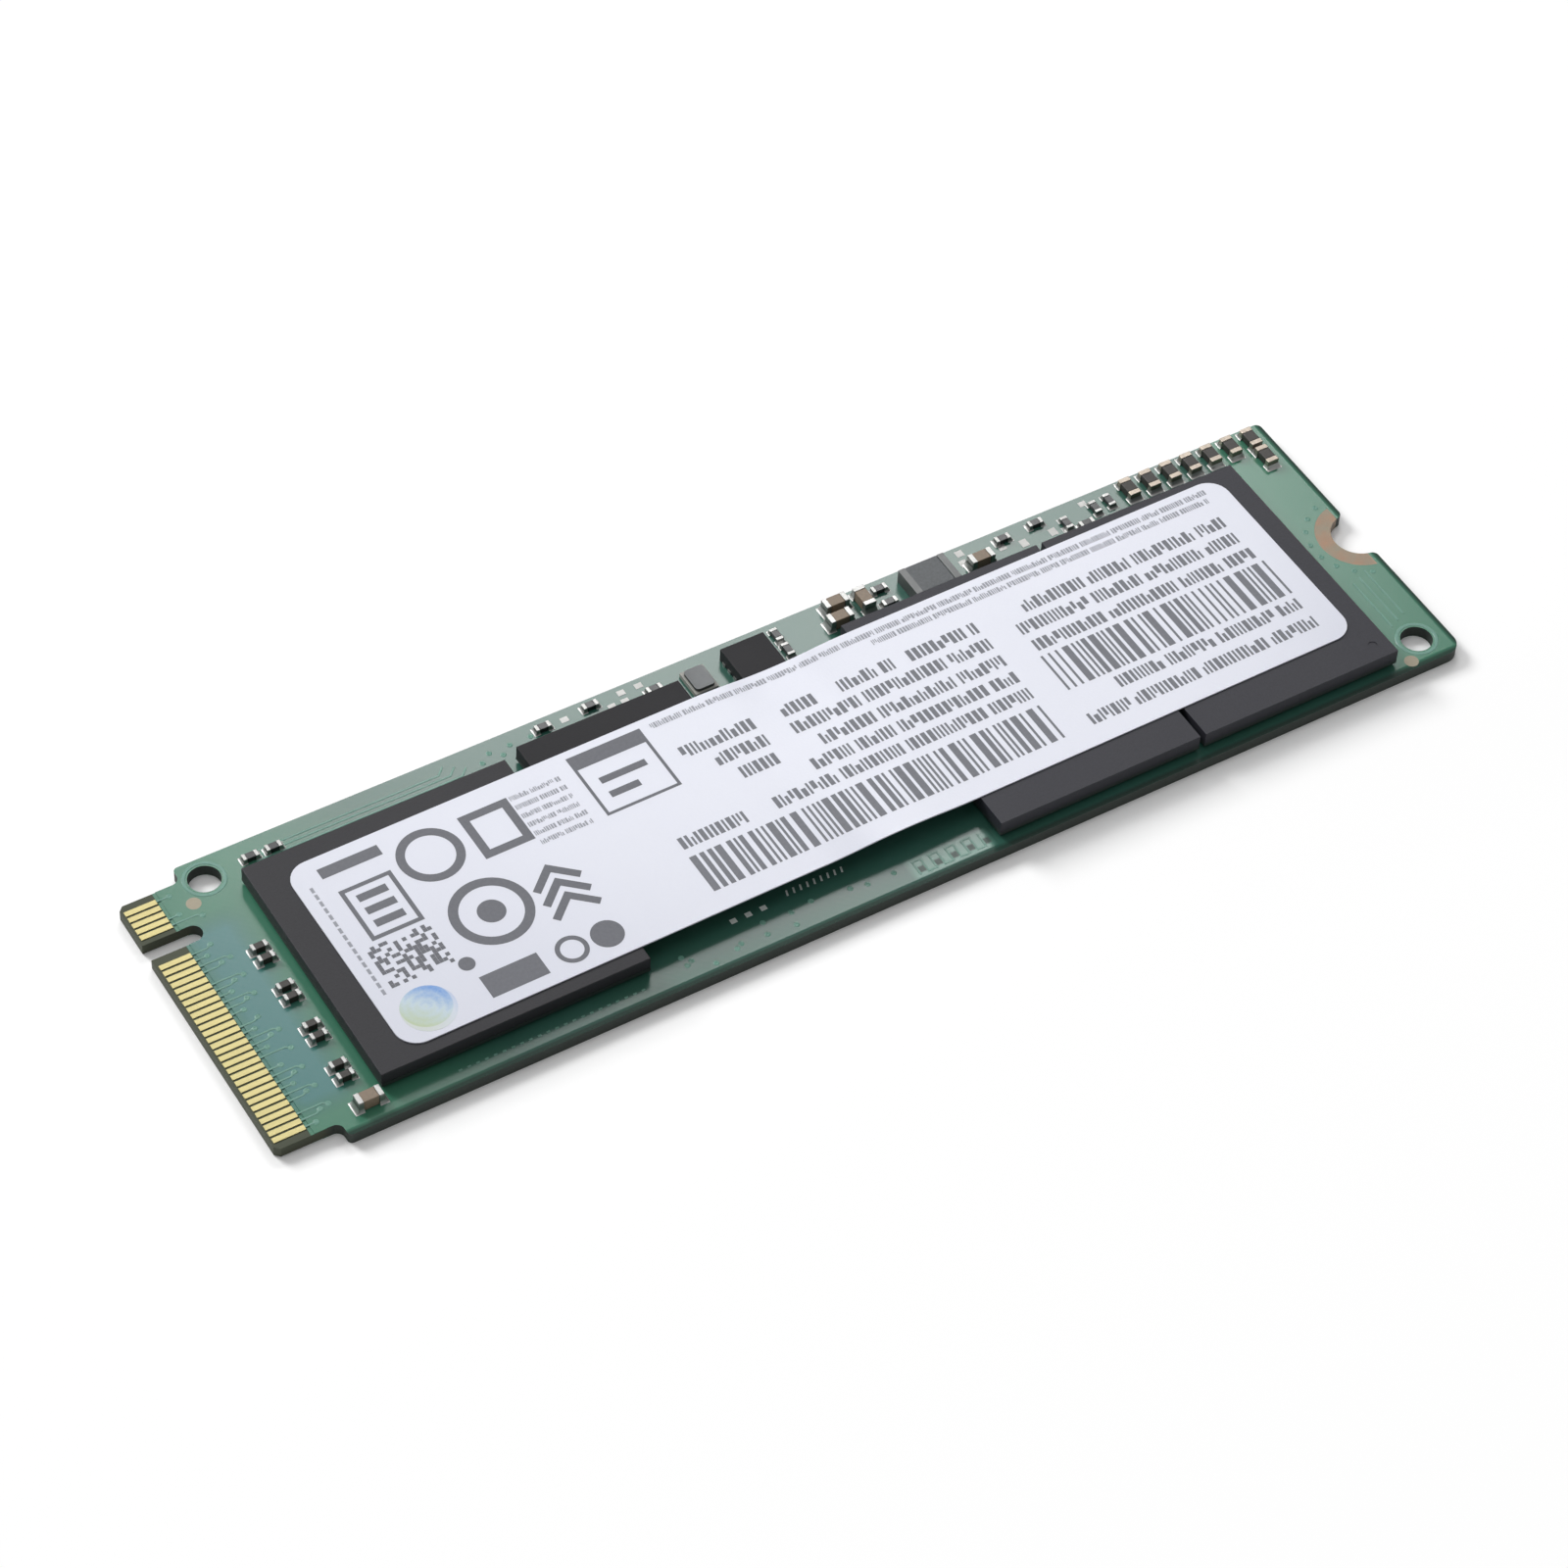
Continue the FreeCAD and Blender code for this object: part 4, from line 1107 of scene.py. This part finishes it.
def bold_marks(marks):
    """Bold marks at the card end: plain bars, rings, boxes, chevrons and a speckled square."""
    marks.block(10.75, 14.65, 5.3, 6.1)
    marks.ring((17.0, 3.9), 1.75, 0.55)
    marks.frame(19.9, 22.6, 2.3, 5.3, 0.55)
    marks.frame(11.2, 14.3, 0.0, 3.9, 0.28)
    for k in range(3):
        marks.block(11.8, 13.7, 0.65 + 1.05 * k, 1.2 + 1.05 * k)
    marks.speckle(10.4, 14.2, -3.7, -0.65, 0.27)
    marks.ring((18.0, -1.5), 2.2, 0.6)
    marks.disc((18.0, -1.5), 0.85)
    for k in range(3):
        lift = 1.15 * k
        marks.line([(20.9, -3.9 + lift), (22.35, -2.6 + lift), (23.8, -3.9 + lift)], 0.5)
    marks.disc((14.9, -4.2), 0.5)
    marks.block(15.0, 18.7, -7.1, -5.4)
    marks.ring((20.6, -6.2), 0.85, 0.3)
    marks.disc((22.9, -6.2), 1.0)
    marks.frame(27.45, 32.25, 1.55, 6.35, 0.2)
    marks.block(27.55, 32.15, 5.35, 6.25)
    marks.block(28.3, 31.4, 3.75, 4.25)
    marks.block(28.3, 30.3, 2.55, 3.05)


# Rows of print from the card edge: start and end along the board, and where across it.
PRINT_ROWS = ((33.5, 38.5, 3.55), (40.4, 42.9, 3.55), (44.4, 48.2, 3.55), (49.3, 54.2, 3.55),
              (35.0, 38.5, 2.05), (40.3, 54.2, 2.05), (35.8, 38.4, 0.5), (41.3, 54.2, 0.5),
              (39.8, 54.2, -1.0), (29.9, 34.3, -2.5), (36.3, 54.3, -2.5), (57.5, 72.4, 3.6),
              (56.3, 72.4, 2.1), (56.4, 72.4, 0.55), (59.1, 72.4, -4.35), (56.0, 72.4, -6.05))


def text_marks(marks):
    """Rows of print and two fields of upright bars."""
    for start, end, middle in PRINT_ROWS:
        marks.words(start, end, middle, 0.92)
    marks.bars(29.8, 54.3, -6.5, -3.6)
    marks.bars(56.2, 72.6, -3.45, -0.35)


def fine_marks(marks):
    """Fine print: a column at the card end, lines along the far edge and a small box of lines."""
    for k in range(16):
        marks.block(9.75, 9.95, -3.9 + 0.57 * k, -3.5 + 0.57 * k)
    marks.words(33.0, 72.8, 6.25, 0.42)
    marks.words(48.0, 72.6, 5.55, 0.42)
    for k in range(6):
        marks.words(23.0, 26.5, 1.6 + 0.75 * k, 0.36)


class GUMSTICK_OT_label(bpy.types.Operator):
    """Lay the paper label over the packages"""

    bl_idname = "gumstick.label"
    bl_label = "Label"

    def execute(self, context):
        label = context.scene.gumstick.label
        sheet = label_sheet(Paper(label)).piece("label_sheet", paper_finish(label), "paper")
        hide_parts("label")
        return {"FINISHED"}


class GUMSTICK_OT_print(bpy.types.Operator):
    """Print plain shapes on the label and stick the round seal on it"""

    bl_idname = "gumstick.print"
    bl_label = "Label print"

    def execute(self, context):
        label = context.scene.gumstick.label
        paper = Paper(label)
        bold, text, fine, seal = (Print(paper, seed) for seed in (3, 5, 8, 1))
        bold_marks(bold)
        text_marks(text)
        fine_marks(fine)
        seal.disc(SEAL_CENTRE, SEAL_RADIUS)
        bold.piece("label_print_bold", flat_ink("ink_bold", label.ink))
        text.piece("label_print_rows", flat_ink("ink_rows", label.text_ink))
        fine.piece("label_print_fine", flat_ink("ink_fine", label.fine_ink))
        seal.piece("label_seal", seal_finish(label))
        return {"FINISHED"}


# Stage

# Name, direction from the drive, and width, height and distance in millimetres of each lamp.
LAMPS = (
    ("softbox", (0.3640, 0.5930, 0.7194), 188.0, 100.0, 500.0),
    ("overhead_panel", (-0.15, 0.12, 0.98), 420.0, 420.0, 600.0),
    ("back_panel", (-0.32, 0.76, 0.56), 210.0, 210.0, 600.0),
)
SENSOR_WIDTH = 36.0
CLIP_START = 0.01
WHITE = (1.0, 1.0, 1.0)
# Half the floor's side in metres, and how far it lies under the drive in millimetres.
FLOOR_HALF, FLOOR_DROP = 2.0, 0.01
# How far from the drive the floor's white begins, and over what length it comes in.
GLOW_START, GLOW_BLEND = 8.0, 10.0


class GUMSTICK_OT_stage(bpy.types.Operator):
    """Set the camera, the floor and the light"""

    bl_idname = "gumstick.stage"
    bl_label = "Stage"

    def execute(self, context):
        scene = context.scene
        stage = scene.gumstick.stage
        self.camera(scene, stage)
        self.light(scene, stage)
        self.floor(scene, stage)
        scene.view_settings.view_transform = "Standard"
        return {"FINISHED"}

    def camera(self, scene, stage):
        """A camera that looks at the aim from its azimuth and elevation, rolled about its view."""
        flat = math.cos(stage.rise)
        back = Vector((math.sin(stage.turn) * flat, -math.cos(stage.turn) * flat,
                       math.sin(stage.rise)))
        right = Vector((math.cos(stage.turn), math.sin(stage.turn), 0.0))
        up = back.cross(right)
        cos, sin = math.cos(stage.roll), math.sin(stage.roll)
        axes = Matrix((right * cos + up * sin, up * cos - right * sin, back)).transposed()
        place = Vector(stage.aim) + back * stage.distance
        data = bpy.data.cameras.new("photo_camera")
        data.lens = stage.lens
        data.sensor_width = SENSOR_WIDTH
        data.clip_start = CLIP_START
        camera = bpy.data.objects.new("photo_camera", data)
        camera.matrix_world = Matrix.Translation(place) @ axes.to_4x4()
        scene.collection.objects.link(camera)
        scene.camera = camera

    def light(self, scene, stage):
        """A softbox that the level faces mirror into the camera, a panel overhead, one behind, and
        an even sky."""
        shares = (stage.sheen_share, stage.top_share, stage.back_share)
        for (name, towards, *sizes), share in zip(LAMPS, shares):
            width, height, distance = (size * MM for size in sizes)
            self.lamp(scene, name, Vector(towards).normalized(), width, height, distance, share)
        world = bpy.data.worlds.new("even_sky")
        world.use_nodes = True
        sky = world.node_tree.nodes["Background"]
        sky.inputs["Color"].default_value = (*WHITE, 1.0)
        sky.inputs["Strength"].default_value = stage.sky_share
        scene.world = world

    def lamp(self, scene, name, towards, width, height, distance, share):
        """An oblong lamp that faces the drive from a direction and gives a level face its share of
        the light."""
        data = bpy.data.lights.new(name, "AREA")
        data.shape = "RECTANGLE"
        data.size = width
        data.size_y = height
        data.energy = share * math.pi ** 2 * distance ** 2 / towards.z
        lamp = bpy.data.objects.new(name, data)
        turn = towards.to_track_quat("Z", "Y").to_matrix().to_4x4()
        lamp.matrix_world = Matrix.Translation(towards * distance) @ turn
        scene.collection.objects.link(lamp)

    def floor(self, scene, stage):
        """A pale floor that is seen as part plain white away from the drive, so that only soft
        shadow shows on it."""
        finish = Finish("floor_white", roughness=0.9, base_color=(0.97, 0.97, 0.97),
                        specular_ior_level=0.0)
        glow = finish.node("ShaderNodeEmission", sockets={"Color": WHITE, "Strength": 1.0})
        rays = finish.node("ShaderNodeLightPath").outputs
        kinds = ("Is Camera Ray", "Is Glossy Ray", "Is Transmission Ray")
        camera, mirrored, through = (Field(finish, rays[kind]) for kind in kinds)
        seen = (camera + mirrored + through).clamped()
        x, y, _ = finish.axes()
        beyond = x.size().over(SCREW_END + GLOW_START, GLOW_BLEND).highest(
            y.size().over(BOARD_HIGH[1] + GLOW_START, GLOW_BLEND))
        share = seen * beyond * stage.floor_glow
        blend = finish.node("ShaderNodeMixShader", sockets={0: share})
        links = finish.tree.links
        links.new(finish.surface.outputs[0], blend.inputs[1])
        links.new(glow.outputs[0], blend.inputs[2])
        links.new(blend.outputs[0], finish.tree.nodes["Material Output"].inputs["Surface"])
        half, drop = FLOOR_HALF, FLOOR_DROP * MM
        corners = [(-half, -half, -drop), (half, -half, -drop),
                   (half, half, -drop), (-half, half, -drop)]
        mesh = bpy.data.meshes.new("floor")
        mesh.from_pydata(corners, [], [(0, 1, 2, 3)])
        mesh.materials.append(finish.material)
        floor = bpy.data.objects.new("floor", mesh)
        scene.collection.objects.link(floor)


OPERATORS = (GUMSTICK_OT_board, GUMSTICK_OT_packages, GUMSTICK_OT_chips, GUMSTICK_OT_solder,
             GUMSTICK_OT_tracks, GUMSTICK_OT_label, GUMSTICK_OT_print, GUMSTICK_OT_stage)


class GUMSTICK_PT_sidebar(bpy.types.Panel):
    """The operators that dress the drive"""

    bl_idname = "GUMSTICK_PT_sidebar"
    bl_label = "Gumstick drive"
    bl_space_type = "VIEW_3D"
    bl_region_type = "UI"
    bl_category = "Gumstick drive"

    def draw(self, context):
        for operator in OPERATORS:
            self.layout.operator(operator.bl_idname)


CLASSES = (LabelSettings, BoardSettings, PieceSettings, StageSettings, DriveSettings,
           *OPERATORS, GUMSTICK_PT_sidebar)


def register():
    """Register the classes and hang the settings on the scene."""
    for made in CLASSES:
        bpy.utils.register_class(made)
    bpy.types.Scene.gumstick = PointerProperty(type=DriveSettings)


def unregister():
    """Take the settings off the scene and unregister the classes."""
    del bpy.types.Scene.gumstick
    for made in reversed(CLASSES):
        bpy.utils.unregister_class(made)


def main():
    """Dress the drive."""
    register()
    bpy.ops.gumstick.board()
    bpy.ops.gumstick.packages()
    bpy.ops.gumstick.chips()
    bpy.ops.gumstick.solder()
    bpy.ops.gumstick.tracks()
    bpy.ops.gumstick.label()
    bpy.ops.gumstick.print()
    bpy.ops.gumstick.stage()


if __name__ == "__main__":
    main()
